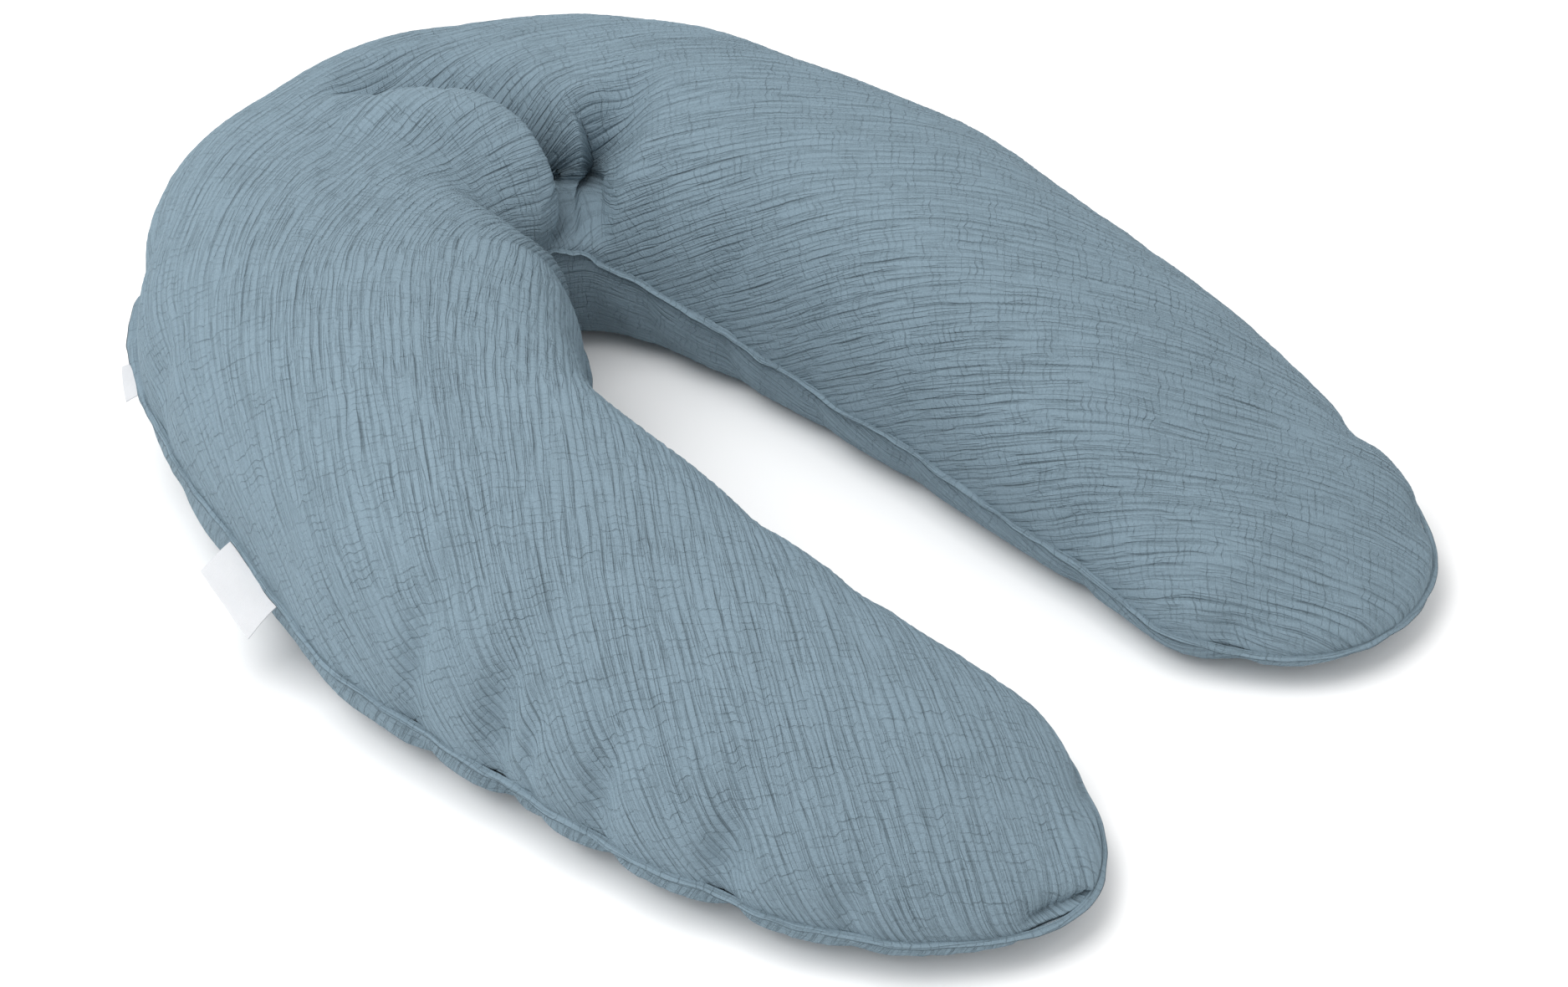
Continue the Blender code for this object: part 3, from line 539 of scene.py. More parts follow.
class Finish:
    """A material under construction, with short words for its nodes."""

    def __init__(self, name):
        self.material = bpy.data.materials.new(name)
        self.material.use_nodes = True
        self.tree = self.material.node_tree
        self.surface = self.tree.nodes["Principled BSDF"]

    def node(self, kind, **settings):
        """A new node of a kind, with its settings."""
        made = self.tree.nodes.new(kind)
        for key, value in settings.items():
            setattr(made, key, value)
        return made

    def link(self, source, target):
        """Joins an output to an input."""
        self.tree.links.new(source, target)

    def value(self, socket, value):
        """Sets one of the surface's own values."""
        self.surface.inputs[socket].default_value = value

    def place(self, kind, scale, turn=0.0):
        """Coordinates on the cloth, or in the object's own space, scaled to one cell per unit."""
        if kind == "cloth":
            source = self.node("ShaderNodeUVMap", uv_map="cloth").outputs["UV"]
        else:
            source = self.node("ShaderNodeTexCoord").outputs["Object"]
        mapping = self.node("ShaderNodeMapping")
        mapping.inputs["Scale"].default_value = scale
        mapping.inputs["Rotation"].default_value = (0, 0, turn)
        self.link(source, mapping.inputs["Vector"])
        return mapping.outputs["Vector"]

    def noise(self, vector, detail=2.0, roughness=0.5, distortion=0.0):
        """Soft noise, from 0 to 1."""
        made = self.node("ShaderNodeTexNoise")
        made.inputs["Scale"].default_value = 1.0
        made.inputs["Detail"].default_value = detail
        made.inputs["Roughness"].default_value = roughness
        made.inputs["Distortion"].default_value = distortion
        self.link(vector, made.inputs["Vector"])
        return made.outputs["Fac"]

    def bands(self, vector, direction, distortion=0.0):
        """Even waves along one direction, one per unit of its coordinates."""
        made = self.node("ShaderNodeTexWave", bands_direction=direction)
        made.inputs["Scale"].default_value = 0.314159
        made.inputs["Distortion"].default_value = distortion
        made.inputs["Detail"].default_value = 1.0
        self.link(vector, made.inputs["Vector"])
        return made.outputs["Fac"]

    def math(self, operation, a, b=None, c=None):
        """One sum on numbers or outputs."""
        made = self.node("ShaderNodeMath", operation=operation)
        for socket, given in zip(made.inputs, (a, b, c)):
            if given is None:
                continue
            if isinstance(given, (int, float)):
                socket.default_value = given
            else:
                self.link(given, socket)
        return made.outputs[0]

    def times(self, a, b):
        return self.math("MULTIPLY", a, b)

    def plus(self, a, b):
        return self.math("ADD", a, b)

    def less(self, a, b):
        return self.math("SUBTRACT", a, b)

    def held(self, value, low, high):
        """The value, kept between low and high."""
        return self.math("MINIMUM", self.math("MAXIMUM", value, low), high)

    def soft_step(self, value, start, end, low=0.0, high=1.0):
        """Goes from low to high as a value goes from start to end."""
        made = self.node("ShaderNodeMapRange", interpolation_type="SMOOTHSTEP")
        self.link(value, made.inputs["Value"])
        made.inputs["From Min"].default_value = start
        made.inputs["From Max"].default_value = end
        made.inputs["To Min"].default_value = low
        made.inputs["To Max"].default_value = high
        return made.outputs["Result"]

    def ridge(self, value, width):
        """1 where a noise passes through its middle, falling to 0 at the width either side."""
        off = self.math("ABSOLUTE", self.less(value, 0.5))
        return self.soft_step(off, 0.0, width, 1.0, 0.0)

    def total(self, *parts):
        """The sum of each part times its share."""
        made = None
        for part, share in parts:
            piece = self.times(part, share)
            made = piece if made is None else self.plus(made, piece)
        return made

    def lines(self, place, start):
        """1 where a running place passes a whole number, falling to 0 at start from the middle."""
        beside = self.math("ABSOLUTE", self.less(self.math("FRACT", place), 0.5))
        return self.soft_step(beside, start, 0.50)

    def mix(self, factor, low, high):
        """From the low colour to the high one as the factor goes from 0 to 1."""
        made = self.node("ShaderNodeMix", data_type="RGBA")
        self.link(factor, made.inputs[0])
        for socket, colour in ((made.inputs[6], low), (made.inputs[7], high)):
            if isinstance(colour, (tuple, list)):
                socket.default_value = (*colour[:3], 1.0)
            else:
                self.link(colour, socket)
        return made.outputs[2]

    def colour(self, source):
        """Gives the surface its colour."""
        self.link(source, self.surface.inputs["Base Color"])

    def bump(self, height, distance, strength=1.0):
        """Fine relief, too small for the mesh."""
        made = self.node("ShaderNodeBump")
        made.inputs["Distance"].default_value = distance
        made.inputs["Strength"].default_value = strength
        self.link(height, made.inputs["Height"])
        self.link(made.outputs["Normal"], self.surface.inputs["Normal"])

    def roughness(self, source, low, high):
        """A roughness that varies between low and high."""
        made = self.node("ShaderNodeMapRange")
        self.link(source, made.inputs["Value"])
        made.inputs["To Min"].default_value = low
        made.inputs["To Max"].default_value = high
        self.link(made.outputs["Result"], self.surface.inputs["Roughness"])


def tint(colour, factor):
    """The colour made lighter or darker by a factor."""
    return tuple(min(1.0, c * factor) for c in colour[:3])


def muslin(name, look):
    """Two thin gauze layers caught together, which crinkle along the grain."""
    finish = Finish(name)
    base = tuple(look.colour)
    warm = (base[0], base[1] * 0.975, base[2] * 0.985)
    split = finish.node("ShaderNodeSeparateXYZ")
    finish.link(finish.node("ShaderNodeUVMap", uv_map="cloth").outputs["UV"], split.inputs[0])
    sharp = finish.lines(finish.times(split.outputs["Y"], 1 / CREASE_PITCH), 0.30)
    grip = finish.noise(finish.place("cloth", (17, 138, 1)), 2.0, 0.5)
    grip = finish.held(finish.times(finish.less(grip, 0.30), 2.4), 0.10, 1.2)
    crease = finish.times(sharp, grip)
    fine = finish.ridge(
        finish.noise(finish.place("cloth", (14, 210, 1)), 2.0, 0.5, 0.1), 0.050)
    drift = finish.noise(finish.place("cloth", (26, 90, 1)), 2.0, 0.5)
    drift = finish.times(finish.less(drift, 0.5), 2.2)
    short = finish.plus(finish.times(split.outputs["X"], 1 / CROSS_PITCH), drift)
    cross = finish.lines(short, 0.32)
    hold = finish.noise(finish.place("cloth", (150, 42, 1)), 2.0, 0.5)
    hold = finish.held(finish.times(finish.less(hold, 0.36), 3.2), 0.0, 1.0)
    cross = finish.times(cross, hold)
    grain = finish.noise(finish.place("cloth", (620, 620, 1)), 2.0, 0.6)
    warp = finish.bands(finish.place("cloth", (1150, 1150, 1)), "X", 0.6)
    weft = finish.bands(finish.place("cloth", (1150, 1150, 1)), "Y", 0.6)
    broad = finish.noise(finish.place("cloth", (7, 7, 1)), 3.0, 0.55)
    worn = finish.mix(broad, tint(warm, 0.68), tint(warm, 0.79))
    # Painted shade: the colour darkens along the creases, fine ridges and short cross creases, where shade falls
    # in their valleys.
    painted_crease_shade = finish.total((crease, 0.50), (fine, 0.18), (cross, 0.20))
    shaded = finish.mix(painted_crease_shade, worn, tint(base, 0.40))
    speck = finish.times(finish.less(grain, 0.42), 0.55)
    finish.colour(finish.mix(speck, shaded, tint(base, 1.30)))
    weave = finish.plus(warp, weft)
    height = finish.total(
        (crease, -0.70), (fine, -0.30), (cross, -0.40), (grain, 0.30), (weave, 0.05))
    finish.bump(height, 0.0020, 1.0)
    finish.value("Roughness", 0.93)
    finish.value("Specular IOR Level", 0.25)
    finish.value("Sheen Weight", 0.22)
    finish.value("Sheen Roughness", 0.45)
    finish.value("Sheen Tint", (*tint(base, 2.0), 1.0))
    return finish.material


def plain_cotton(name, colour):
    """Close plain weave, with a few thicker threads."""
    finish = Finish(name)
    warp = finish.bands(finish.place("cloth", (1400, 1400, 1)), "X", 0.3)
    weft = finish.bands(finish.place("cloth", (1400, 1400, 1)), "Y", 0.3)
    slub = finish.noise(finish.place("cloth", (40, 500, 1)), 3.0)
    finish.colour(finish.mix(slub, tint(colour, 0.90), tint(colour, 1.06)))
    finish.bump(finish.plus(warp, weft), 0.0004, 0.5)
    finish.roughness(slub, 0.82, 0.95)
    finish.value("Sheen Weight", 0.15)
    return finish.material


def foam_beads(name, colour):
    """Fine round beads, packed together."""
    finish = Finish(name)
    cells = finish.node("ShaderNodeTexVoronoi", feature="F1")
    cells.inputs["Scale"].default_value = 380.0
    finish.link(finish.node("ShaderNodeTexCoord").outputs["Object"], cells.inputs["Vector"])
    patch = finish.noise(finish.place("own", (90, 90, 90)), 3.0)
    finish.colour(finish.mix(patch, tint(colour, 0.90), tint(colour, 1.05)))
    round_top = finish.less(1.0, finish.times(cells.outputs["Distance"], 1.4))
    finish.bump(round_top, 0.0014, 0.9)
    finish.roughness(patch, 0.45, 0.65)
    return finish.material


def herringbone(name, colour):
    """Zip tape, woven in narrow slanting ribs that turn back at each row."""
    finish = Finish(name)
    slant = finish.bands(finish.place("own", (900, 900, 900), 0.6), "DIAGONAL")
    rows = finish.bands(finish.place("own", (700, 700, 700)), "Z")
    ribs = finish.times(slant, finish.plus(rows, 0.4))
    fuzz = finish.noise(finish.place("own", (260, 260, 260)), 3.0)
    finish.colour(finish.mix(fuzz, tint(colour, 0.85), tint(colour, 1.15)))
    finish.bump(ribs, 0.0003, 0.7)
    finish.roughness(fuzz, 0.75, 0.92)
    return finish.material


def moulded(name, colour):
    """Smooth nylon, faintly uneven."""
    finish = Finish(name)
    flow = finish.noise(finish.place("own", (350, 350, 350)), 3.0)
    finish.colour(finish.mix(flow, tint(colour, 0.92), tint(colour, 1.08)))
    finish.bump(flow, 0.0001, 0.4)
    finish.roughness(flow, 0.32, 0.48)
    return finish.material


def satin_metal(name, colour):
    """Die-cast metal with a fine brushed finish, dulled in places."""
    finish = Finish(name)
    brushed = finish.noise(finish.place("own", (1800, 240, 1800)), 3.0)
    wear = finish.noise(finish.place("own", (420, 420, 420)), 4.0, 0.6)
    finish.colour(finish.mix(wear, tint(colour, 0.85), tint(colour, 1.12)))
    finish.bump(brushed, 0.00008, 0.5)
    finish.roughness(brushed, 0.26, 0.42)
    finish.value("Metallic", 1.0)
    return finish.material


def woven_ribbon(name, colour):
    """Satin label ribbon: fine ribs along it, with a faint sheen."""
    finish = Finish(name)
    ribs = finish.bands(finish.place("cloth", (1500, 1500, 1)), "Y")
    cross = finish.bands(finish.place("cloth", (1100, 1100, 1)), "X", 0.3)
    soil = finish.noise(finish.place("cloth", (60, 60, 1)), 3.0)
    finish.colour(finish.mix(soil, tint(colour, 0.94), tint(colour, 1.04)))
    finish.bump(finish.plus(ribs, finish.times(cross, 0.5)), 0.00025, 0.6)
    finish.roughness(soil, 0.50, 0.62)
    finish.value("Sheen Weight", 0.2)
    return finish.material


def thread(name, colour):
    """Twisted sewing thread."""
    finish = Finish(name)
    twist = finish.bands(finish.place("own", (2400, 2400, 2400)), "DIAGONAL")
    finish.colour(finish.mix(twist, tint(colour, 0.85), tint(colour, 1.1)))
    finish.bump(twist, 0.0001, 0.6)
    finish.roughness(twist, 0.55, 0.75)
    return finish.material


def stage_floor(name, colour):
    """Plain matt floor."""
    finish = Finish(name)
    mottle = finish.noise(finish.place("own", (3, 3, 3)), 2.0)
    finish.colour(finish.mix(mottle, tint(colour, 0.995), tint(colour, 1.0)))
    finish.value("Roughness", 0.8)
    finish.value("Specular IOR Level", 0.1)
    return finish.material


def once(name, make, *given):
    """A material made the first time that it is asked for."""
    return bpy.data.materials.get(name) or make(name, *given)


def cover_cloth():
    """The material that the cover and its seam share."""
    return once("crinkled_muslin", muslin, bpy.context.scene.pillow_cloth)


def recolour(node, material):
    """A plain solid that is already the right shape gets a finished material."""
    obj = frame["nodes"][node]
    obj.data.materials.clear()
    obj.data.materials.append(material)


# ---- Settings ----


class PillowClothSettings(bpy.types.PropertyGroup):
    """The cover's cloth and fill"""

    colour: FloatVectorProperty(
        name="Cloth colour", description="Dusty grey-blue of the muslin", subtype="COLOR",
        size=3, min=0, max=1, default=frame["record"]["materials"][0]["base_color"])
    top_spacing: FloatProperty(
        name="Top mesh spacing", description="Distance between points on the top panel",
        default=0.0025, min=0.002, max=0.02, unit="LENGTH")
    under_spacing: FloatProperty(
        name="Underside mesh spacing", description="Distance between points on the bottom panel",
        default=0.0042, min=0.002, max=0.02, unit="LENGTH")
    fullness: FloatProperty(
        name="Fill", description="How full the cover is, from slack to tight",
        default=0.75, min=0, max=1, subtype="FACTOR")


class PillowSeamSettings(bpy.types.PropertyGroup):
    """The raised seam"""

    width: FloatProperty(
        name="Seam width", description="How far the raised seam stands out",
        default=0.0038, min=0.001, max=0.02, unit="LENGTH")
    thickness: FloatProperty(
        name="Seam thickness", description="Thickness of the raised seam",
        default=0.0017, min=0.0005, max=0.01, unit="LENGTH")
    fold_width: FloatProperty(
        name="Turned-out fold", description="Extra width of the seam beside the zip's left end",
        default=0.0110, min=0, max=0.02, unit="LENGTH")


class PillowLabelSettings(bpy.types.PropertyGroup):
    """The woven labels"""

    colour: FloatVectorProperty(
        name="Label colour", description="White of the woven labels", subtype="COLOR",
        size=3, min=0, max=1, default=(0.58, 0.59, 0.61))
    thickness: FloatProperty(
        name="Label thickness", description="Thickness of the folded ribbon",
        default=0.0007, min=0.0002, max=0.002, unit="LENGTH")


class PillowZipSettings(bpy.types.PropertyGroup):
    """Both zips and the stitches beside the cover's"""

    tape_colour: FloatVectorProperty(
        name="Tape colour", description="Colour of the zip tapes", subtype="COLOR",
        size=3, min=0, max=1, default=(0.200, 0.290, 0.350))
    coil_colour: FloatVectorProperty(
        name="Coil colour", description="Colour of the zip coils", subtype="COLOR",
        size=3, min=0, max=1, default=(0.240, 0.340, 0.400))
    metal_colour: FloatVectorProperty(
        name="Metal colour", description="Colour of the sliders, pull and stops", subtype="COLOR",
        size=3, min=0, max=1, default=(0.55, 0.56, 0.58))
    pitch: FloatProperty(
        name="Coil pitch", description="Distance between the coil's turns",
        default=0.0016, min=0.001, max=0.005, unit="LENGTH")
    stitch: FloatProperty(
        name="Stitch length", description="Length of the stitches beside the zip",
        default=0.0032, min=0.001, max=0.01, unit="LENGTH")


class PillowFillSettings(bpy.types.PropertyGroup):
    """The inner bag and the beads"""

    bag_colour: FloatVectorProperty(
        name="Inner bag colour", description="Off-white of the inner bag", subtype="COLOR",
        size=3, min=0, max=1, default=(0.85, 0.85, 0.83))
    bead_colour: FloatVectorProperty(
        name="Bead colour", description="White of the foam beads", subtype="COLOR",
        size=3, min=0, max=1, default=(0.92, 0.92, 0.91))
    spacing: FloatProperty(
        name="Mesh spacing", description="Distance between points on the bag and the beads",
        default=0.010, min=0.004, max=0.03, unit="LENGTH")


class PillowStageSettings(bpy.types.PropertyGroup):
    """The floor, the lights and the camera"""

    camera_place: FloatVectorProperty(
        name="Camera place", description="Where the camera stands", subtype="TRANSLATION",
        unit="LENGTH", size=3, default=TOP_OF_CROWN + Vector((-1.04271, -1.36414, 1.2135)))
    camera_aim: FloatVectorProperty(
        name="Camera aim", description="The point the camera looks at", subtype="TRANSLATION",
        unit="LENGTH", size=3, default=TOP_OF_CROWN + Vector((0.04729, -0.37514, 0.0)))
    lens: FloatProperty(
        name="Focal length", description="Focal length on a 36 mm sensor, in millimetres",
        default=61.93, min=10, max=200)
    floor_colour: FloatVectorProperty(
        name="Floor colour", description="Plain pale floor", subtype="COLOR",
        size=3, min=0, max=1, default=(0.93, 0.93, 0.93))
    key: FloatProperty(
        name="Main light", description="Power of the large soft light, in watts",
        default=35.0, min=0, max=1000)
    room: FloatProperty(
        name="Room light", description="Strength of the even white surround",
        default=0.86, min=0, max=10)


# ---- Pieces ----


def cover_skin(side, sweep, spacing, is_top):
    """One half of a panel as a grid of points, from the crown's middle to the tip."""
    places = tip_rows(side, spacing)
    s = np.repeat(places[:, None], len(sweep[0]), axis=1)
    x = np.repeat(sweep[0][None, :], len(places), axis=0)
    z = np.repeat(sweep[1][None, :], len(places), axis=0)
    points = section(side, s, x, z)
    seam = fullness(side, s, SEAM)
    # The panels part at the zip.
    gap = WINDOW_HALF * smooth((ZIP_END + WINDOW_RAMP - s) / WINDOW_RAMP) * (x > 0)
    near = 1 - np.clip(np.abs(points[..., 2] - seam) / WINDOW_FADE, 0, 1)
    points[..., 2] += gap * near * (1 if is_top else -1)
    return s, x, z, points


def cover_panel(is_top, spacing):
    """Both halves of a panel, finished as one skin, with flat places and normals."""
    count = round((TOP_GIRTH if is_top else UNDER_GIRTH) / spacing)
    sweep = top_sweep(count) if is_top else under_sweep(count)
    if is_top:
        sweep = sweep[0][::-1], sweep[1][::-1]
    halves = {side: cover_skin(side, sweep, spacing, is_top) for side in (LEFT, RIGHT)}
    flats = {side: flat_place(side, half[0], half[3], 1 if is_top else -1)
             for side, half in halves.items()}
    middle = len(halves[LEFT][0]) - 1

    def whole(k):
        """One of the halves' arrays, from the left tip to the right one."""
        return np.concatenate([halves[LEFT][k][::-1], halves[RIGHT][k][1:]])

    s, x, points = whole(0), whole(1), whole(3)
    flat = np.concatenate([flats[LEFT][::-1], flats[RIGHT][1:]])
    normals = grid_normals(points)
    edge = smooth((1 - np.abs(x)) / EDGE_CRINKLE)
    if is_top:
        # The edge stays on the seam.
        hold = smooth(whole(2) / EDGE_HOLD)[..., None]
        points = points + (sculpt(points, normals) - points) * hold
    parts = []
    share = 1.0 if is_top else UNDER_SHARE
    for side, run in ((LEFT, slice(0, middle + 1)), (RIGHT, slice(middle, None))):
        parts.append(puckered(side, s[run], x[run], points[run], normals[run], share))
    points = np.concatenate([parts[0], parts[1][1:]])
    normals = grid_normals(points)
    if not is_top:
        # The bottom panel is cut at another angle, from another part of the cloth.
        flat = flat @ UNDER_TURN + UNDER_SHIFT
    flat = wandered(flat)
    rise = crinkle(flat)
    clear = smooth(points[..., 2] / FOOT_FADE)
    points = points + normals * (rise * clear * (0.35 + 0.65 * edge))[..., None]
    points[..., 2] = np.maximum(points[..., 2], FLOOR_CLEARANCE)
    normals = grid_normals(points)
    return {
        LEFT: (points[: middle + 1], normals[: middle + 1], flat[: middle + 1]),
        RIGHT: (points[middle:], normals[middle:], flat[middle:]),
    }


def skin_object(name, skin):
    """A grid of points made into a mesh."""
    points, normals, flat = skin
    rows, columns = points.shape[:2]
    return mesh_object(name, points.reshape(-1, 3), grid_faces(rows, columns, True),
                       flat.reshape(-1, 2), normals.reshape(-1, 3))


class PILLOW_OT_cover(bpy.types.Operator):
    """Make the top and bottom panels of the muslin cover"""
    bl_idname = "pillow.cover"
    bl_label = "Cover"

    def execute(self, context):
        look = context.scene.pillow_cloth
        for is_top, spacing in ((True, look.top_spacing), (False, look.under_spacing)):
            word = "top" if is_top else "bottom"
            panel = cover_panel(is_top, spacing)
            for side in (LEFT, RIGHT):
                obj = skin_object(f"muslin_{word}_{WORD[side]}", panel[side])
                stands_for = [f"cover_{word}_{ARM[side]}"]
                if side == LEFT:
                    stands_for.append(f"cover_{word}_crown")
                finish_piece(obj, side, cover_cloth(), stands_for)
        return {"FINISHED"}


def swept_ring(line, out, profiles, turned):
    """A closed bar along a line, from the way out and the (out, up) places at each point."""
    rows = []
    for place, way, shape in zip(line, out, profiles):
        rows.append([place + way * a + np.array([0, 0, b]) for a, b in shape])
    rows = np.array(rows)
    count, sides = rows.shape[:2]
    faces = grid_faces(count, sides, turned, closed=True)
    first, last = list(range(sides)), [(count - 1) * sides + k for k in range(sides)]
    faces.append(tuple(first if turned else first[::-1]))
    faces.append(tuple(last[::-1] if turned else last))
    run = np.concatenate([[0], np.cumsum(np.linalg.norm(np.diff(line, axis=0), axis=1))])
    around = np.arange(sides) * 0.002
    flat = np.stack([np.repeat(run[:, None], sides, 1), np.repeat(around[None, :], count, 0)], -1)
    return rows.reshape(-1, 3), faces, flat.reshape(-1, 2)


SEAM_SPACING, SEAM_OVERLAP = 0.003, 0.004  # between its points, and past the zip's end
SEAM_INSET, SEAM_SIDES = 0.0015, 10
SEAM_FOLD_PLACE, SEAM_FOLD_RUN = 0.160, 0.030  # the turned-out fold, along the centreline
SEAM_TURN_DOWN, SEAM_LEAN = 1.1, 0.35  # how far the seam droops, and by how much it may


def seam_loop(side):
    """The seam's line from the zip's end, round the tip and back along the inside."""
    places = tip_rows(side, SEAM_SPACING)
    outer = places[places > ZIP_END - SEAM_OVERLAP]
    s = np.concatenate([outer, places[::-1][1:]])
    x = np.concatenate([np.ones(len(outer)), -np.ones(len(places) - 1)])
    return s, x, section(side, s, x, np.zeros_like(s))


def seam_profiles(widths, tilts, thickness):
    """The seam's rounded outline at each point along it, as (out, up) places."""
    profiles = []
    half = thickness / 2
    for w, lean in zip(widths, tilts - SEAM_TURN_DOWN):
        shape = []
        for k in range(SEAM_SIDES):
            turn = 2 * math.pi * k / SEAM_SIDES
            a = (math.cos(turn) * 0.5 + 0.5) * (w + SEAM_INSET) - SEAM_INSET
            b = math.sin(turn) * half * (1.15 - 0.3 * math.cos(turn)) + a * SEAM_LEAN * lean
            shape.append((a, b))
        profiles.append(shape)
    return profiles


class PILLOW_OT_seam(bpy.types.Operator):
    """Make the raised seam between the two panels"""
    bl_idname = "pillow.seam"
    bl_label = "Seam"

    def execute(self, context):
        settings = context.scene.pillow_seam
        for side in (LEFT, RIGHT):
            s, x, line = seam_loop(side)
            run = np.gradient(line, axis=0)
            run[:, 2] = 0
            run /= np.linalg.norm(run, axis=1, keepdims=True)
            out = np.stack([-run[:, 1], run[:, 0], np.zeros(len(run))], -1) * side
            distance = np.concatenate([[0], np.cumsum(np.linalg.norm(np.diff(line, axis=0), axis=1))])
            flutter = gradient_noise(plane(distance / 0.016, np.full(len(s), 5.5 * side)), 31)
            tilt = gradient_noise(plane(distance / 0.030, np.full(len(s), 9.5 * side)), 32)
            width = settings.width * (1 + 0.22 * flutter)
            if side == LEFT:
                fold = bump(s - SEAM_FOLD_PLACE, SEAM_FOLD_RUN)
                width = width + settings.fold_width * fold * (x > 0)
            profiles = seam_profiles(width, tilt, settings.thickness)
            verts, faces, flat = swept_ring(line, out, profiles, side == LEFT)
            obj = mesh_object(f"seam_{WORD[side]}", verts, faces, flat)
            stands_for = [f"seam_{ARM[side]}", f"seam_crown_{WORD[side]}"]
            if side == LEFT:
                stands_for.append("seam_crown_inside")
            finish_piece(obj, side, cover_cloth(), stands_for)
        return {"FINISHED"}


RIBBON_ACROSS, RIBBON_DEEP = 28, 12
RIBBON_BELOW, RIBBON_WAVE = 0.0016, 0.0016  # under the seam's middle, and how much it ripples
RIBBON_START = 0.001  # how far outside the seam's line it starts


def ribbon(name, side, place, width, reach, thickness, droop, seed):
    """A thin folded ribbon that stands out from under the seam.

    Place and width are measured along the centreline, so the ribbon is a little wider than that.
    """
    across, deep, start = RIBBON_ACROSS, RIBBON_DEEP, RIBBON_START
    rows = []
    for level in (0, 1):
        for i in range(across + 1):
            s = place + width * (i / across - 0.5)
            edge = section(side, np.array([s]), np.array([1.0]), np.array([0.0]))[0]
            heading = float(centreline(side, np.array([s]))[2][0])
            out = np.array([side * math.sin(heading), math.cos(heading), 0])
            for j in range(deep + 1):
                run = start + (reach - start) * j / deep
                share = j / deep
                wave = noise.noise(Vector((i / across * 2.2, share * 1.2, seed))) * RIBBON_WAVE * share
                z = edge[2] - RIBBON_BELOW - droop * share**1.5 + wave - thickness * level
                rows.append((*(edge + out * run)[:2], z))
    columns = deep + 1
    count = (across + 1) * columns
    faces = []
    for i in range(across):
        for j in range(deep):
            a = i * columns + j
            quad = (a, a + 1, a + columns + 1, a + columns)
            faces.append(quad if side == LEFT else quad[::-1])
            under = tuple(v + count for v in quad)
            faces.append(under[::-1] if side == LEFT else under)
    rim = [i * columns for i in range(across + 1)]
    rim += [across * columns + j for j in range(1, columns)]
    rim += [i * columns + deep for i in range(across - 1, -1, -1)]
    rim += [j for j in range(deep - 1, 0, -1)]
    for a, b in zip(rim, rim[1:] + rim[:1]):
        quad = (a, a + count, b + count, b)
        faces.append(quad[::-1] if side == LEFT else quad)
    flat = []
    for _ in (0, 1):
        for i in range(across + 1):
            flat += [(width * i / across, (reach - start) * j / deep) for j in range(columns)]
    obj = mesh_object(name, rows, faces, np.array(flat))
    obj.data.set_sharp_from_angle(angle=math.radians(40))
    return obj


class PILLOW_OT_labels(bpy.types.Operator):
    """Make the blank side label and the care label"""
    bl_idname = "pillow.labels"
    bl_label = "Labels"

    def execute(self, context):
        settings = context.scene.pillow_labels
        finish = once("label_ribbon", woven_ribbon, tuple(settings.colour))
        side_label = ribbon("woven_side_label", LEFT, place=0.354, width=0.052, reach=0.0285,
                            thickness=settings.thickness, droop=0.010, seed=1.5)
        finish_piece(side_label, LEFT, finish, ["side_label"])
        care = ribbon("woven_care_label", LEFT, place=0.200, width=0.022, reach=0.013,
                      thickness=settings.thickness, droop=0.003, seed=4.5)
        finish_piece(care, None, finish, ["care_label"])
        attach(care, "crown")
        return {"FINISHED"}


def node_arc(node):
    """A strip's middle radius, heights and angles about the crown's centre."""
    places = [v.co for v in frame["nodes"][node].data.vertices]
    radii = [math.hypot(p.x - ARC_CENTRE.x, p.y - ARC_CENTRE.y) for p in places]
    angles = [math.atan2(-(p.x - ARC_CENTRE.x), p.y - ARC_CENTRE.y) for p in places]
    low, high = min(p.z for p in places), max(p.z for p in places)
    return (min(radii) + max(radii)) / 2, low, high, min(angles), max(angles)


WIRE_RADIUS, COIL_STEPS, WIRE_SIDES = 0.00028, 10, 5


def coil(node, pitch):
    """A monofilament coil, wound along the zip tape's edge."""
    radius, low, high, start, end = node_arc(node)
    reach, wire, steps, sides = (high - low) / 2, WIRE_RADIUS, COIL_STEPS, WIRE_SIDES
    total = round((end - start) * radius / pitch) * steps
    verts = []
    for k in range(total + 1):
        turn = 2 * math.pi * k / steps
        angle = start + (end - start) * k / total
        out = Vector((-math.sin(angle), math.cos(angle), 0))
        spin = out * math.cos(turn) + Vector((0, 0, 1)) * math.sin(turn)
        along = Vector((math.cos(angle), math.sin(angle), 0))
        centre = ARC_CENTRE + out * radius + Vector((0, 0, (low + high) / 2)) + spin * (reach - wire)
        for j in range(sides):
            way = 2 * math.pi * j / sides
            verts.append(centre + spin * (wire * math.cos(way)) + along * (wire * math.sin(way)))
    faces = grid_faces(total + 1, sides, False, closed=True)
    faces += [tuple(range(sides)), tuple(total * sides + j for j in range(sides - 1, -1, -1))]
    return mesh_object(f"wound_{node}", verts, faces)


class PILLOW_OT_zips(bpy.types.Operator):
    """Make both zips' coils and finish their tapes, stops, sliders and pull"""
    bl_idname = "pillow.zips"
    bl_label = "Zips"

    def execute(self, context):
        settings = context.scene.pillow_zips
        tape = once("zip_tape_herringbone", herringbone, tuple(settings.tape_colour))
        plastic = once("zip_coil_plastic", moulded, tuple(settings.coil_colour))
        metal = once("zip_satin_metal", satin_metal, tuple(settings.metal_colour))
        for prefix in ("zip", "bag_zip"):
            for row in ("upper", "lower"):
                recolour(f"{prefix}_tape_{row}", tape)
                recolour(f"{prefix}_top_stop_{row}", metal)
                node = f"{prefix}_coil_{row}"
                obj = coil(node, settings.pitch)
                finish_piece(obj, None, plastic, [node])
                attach(obj, "crown")
            recolour(f"{prefix}_bottom_stop", metal)
            recolour(f"{prefix}_slider", metal)
        recolour("zip_pull", metal)
        return {"FINISHED"}


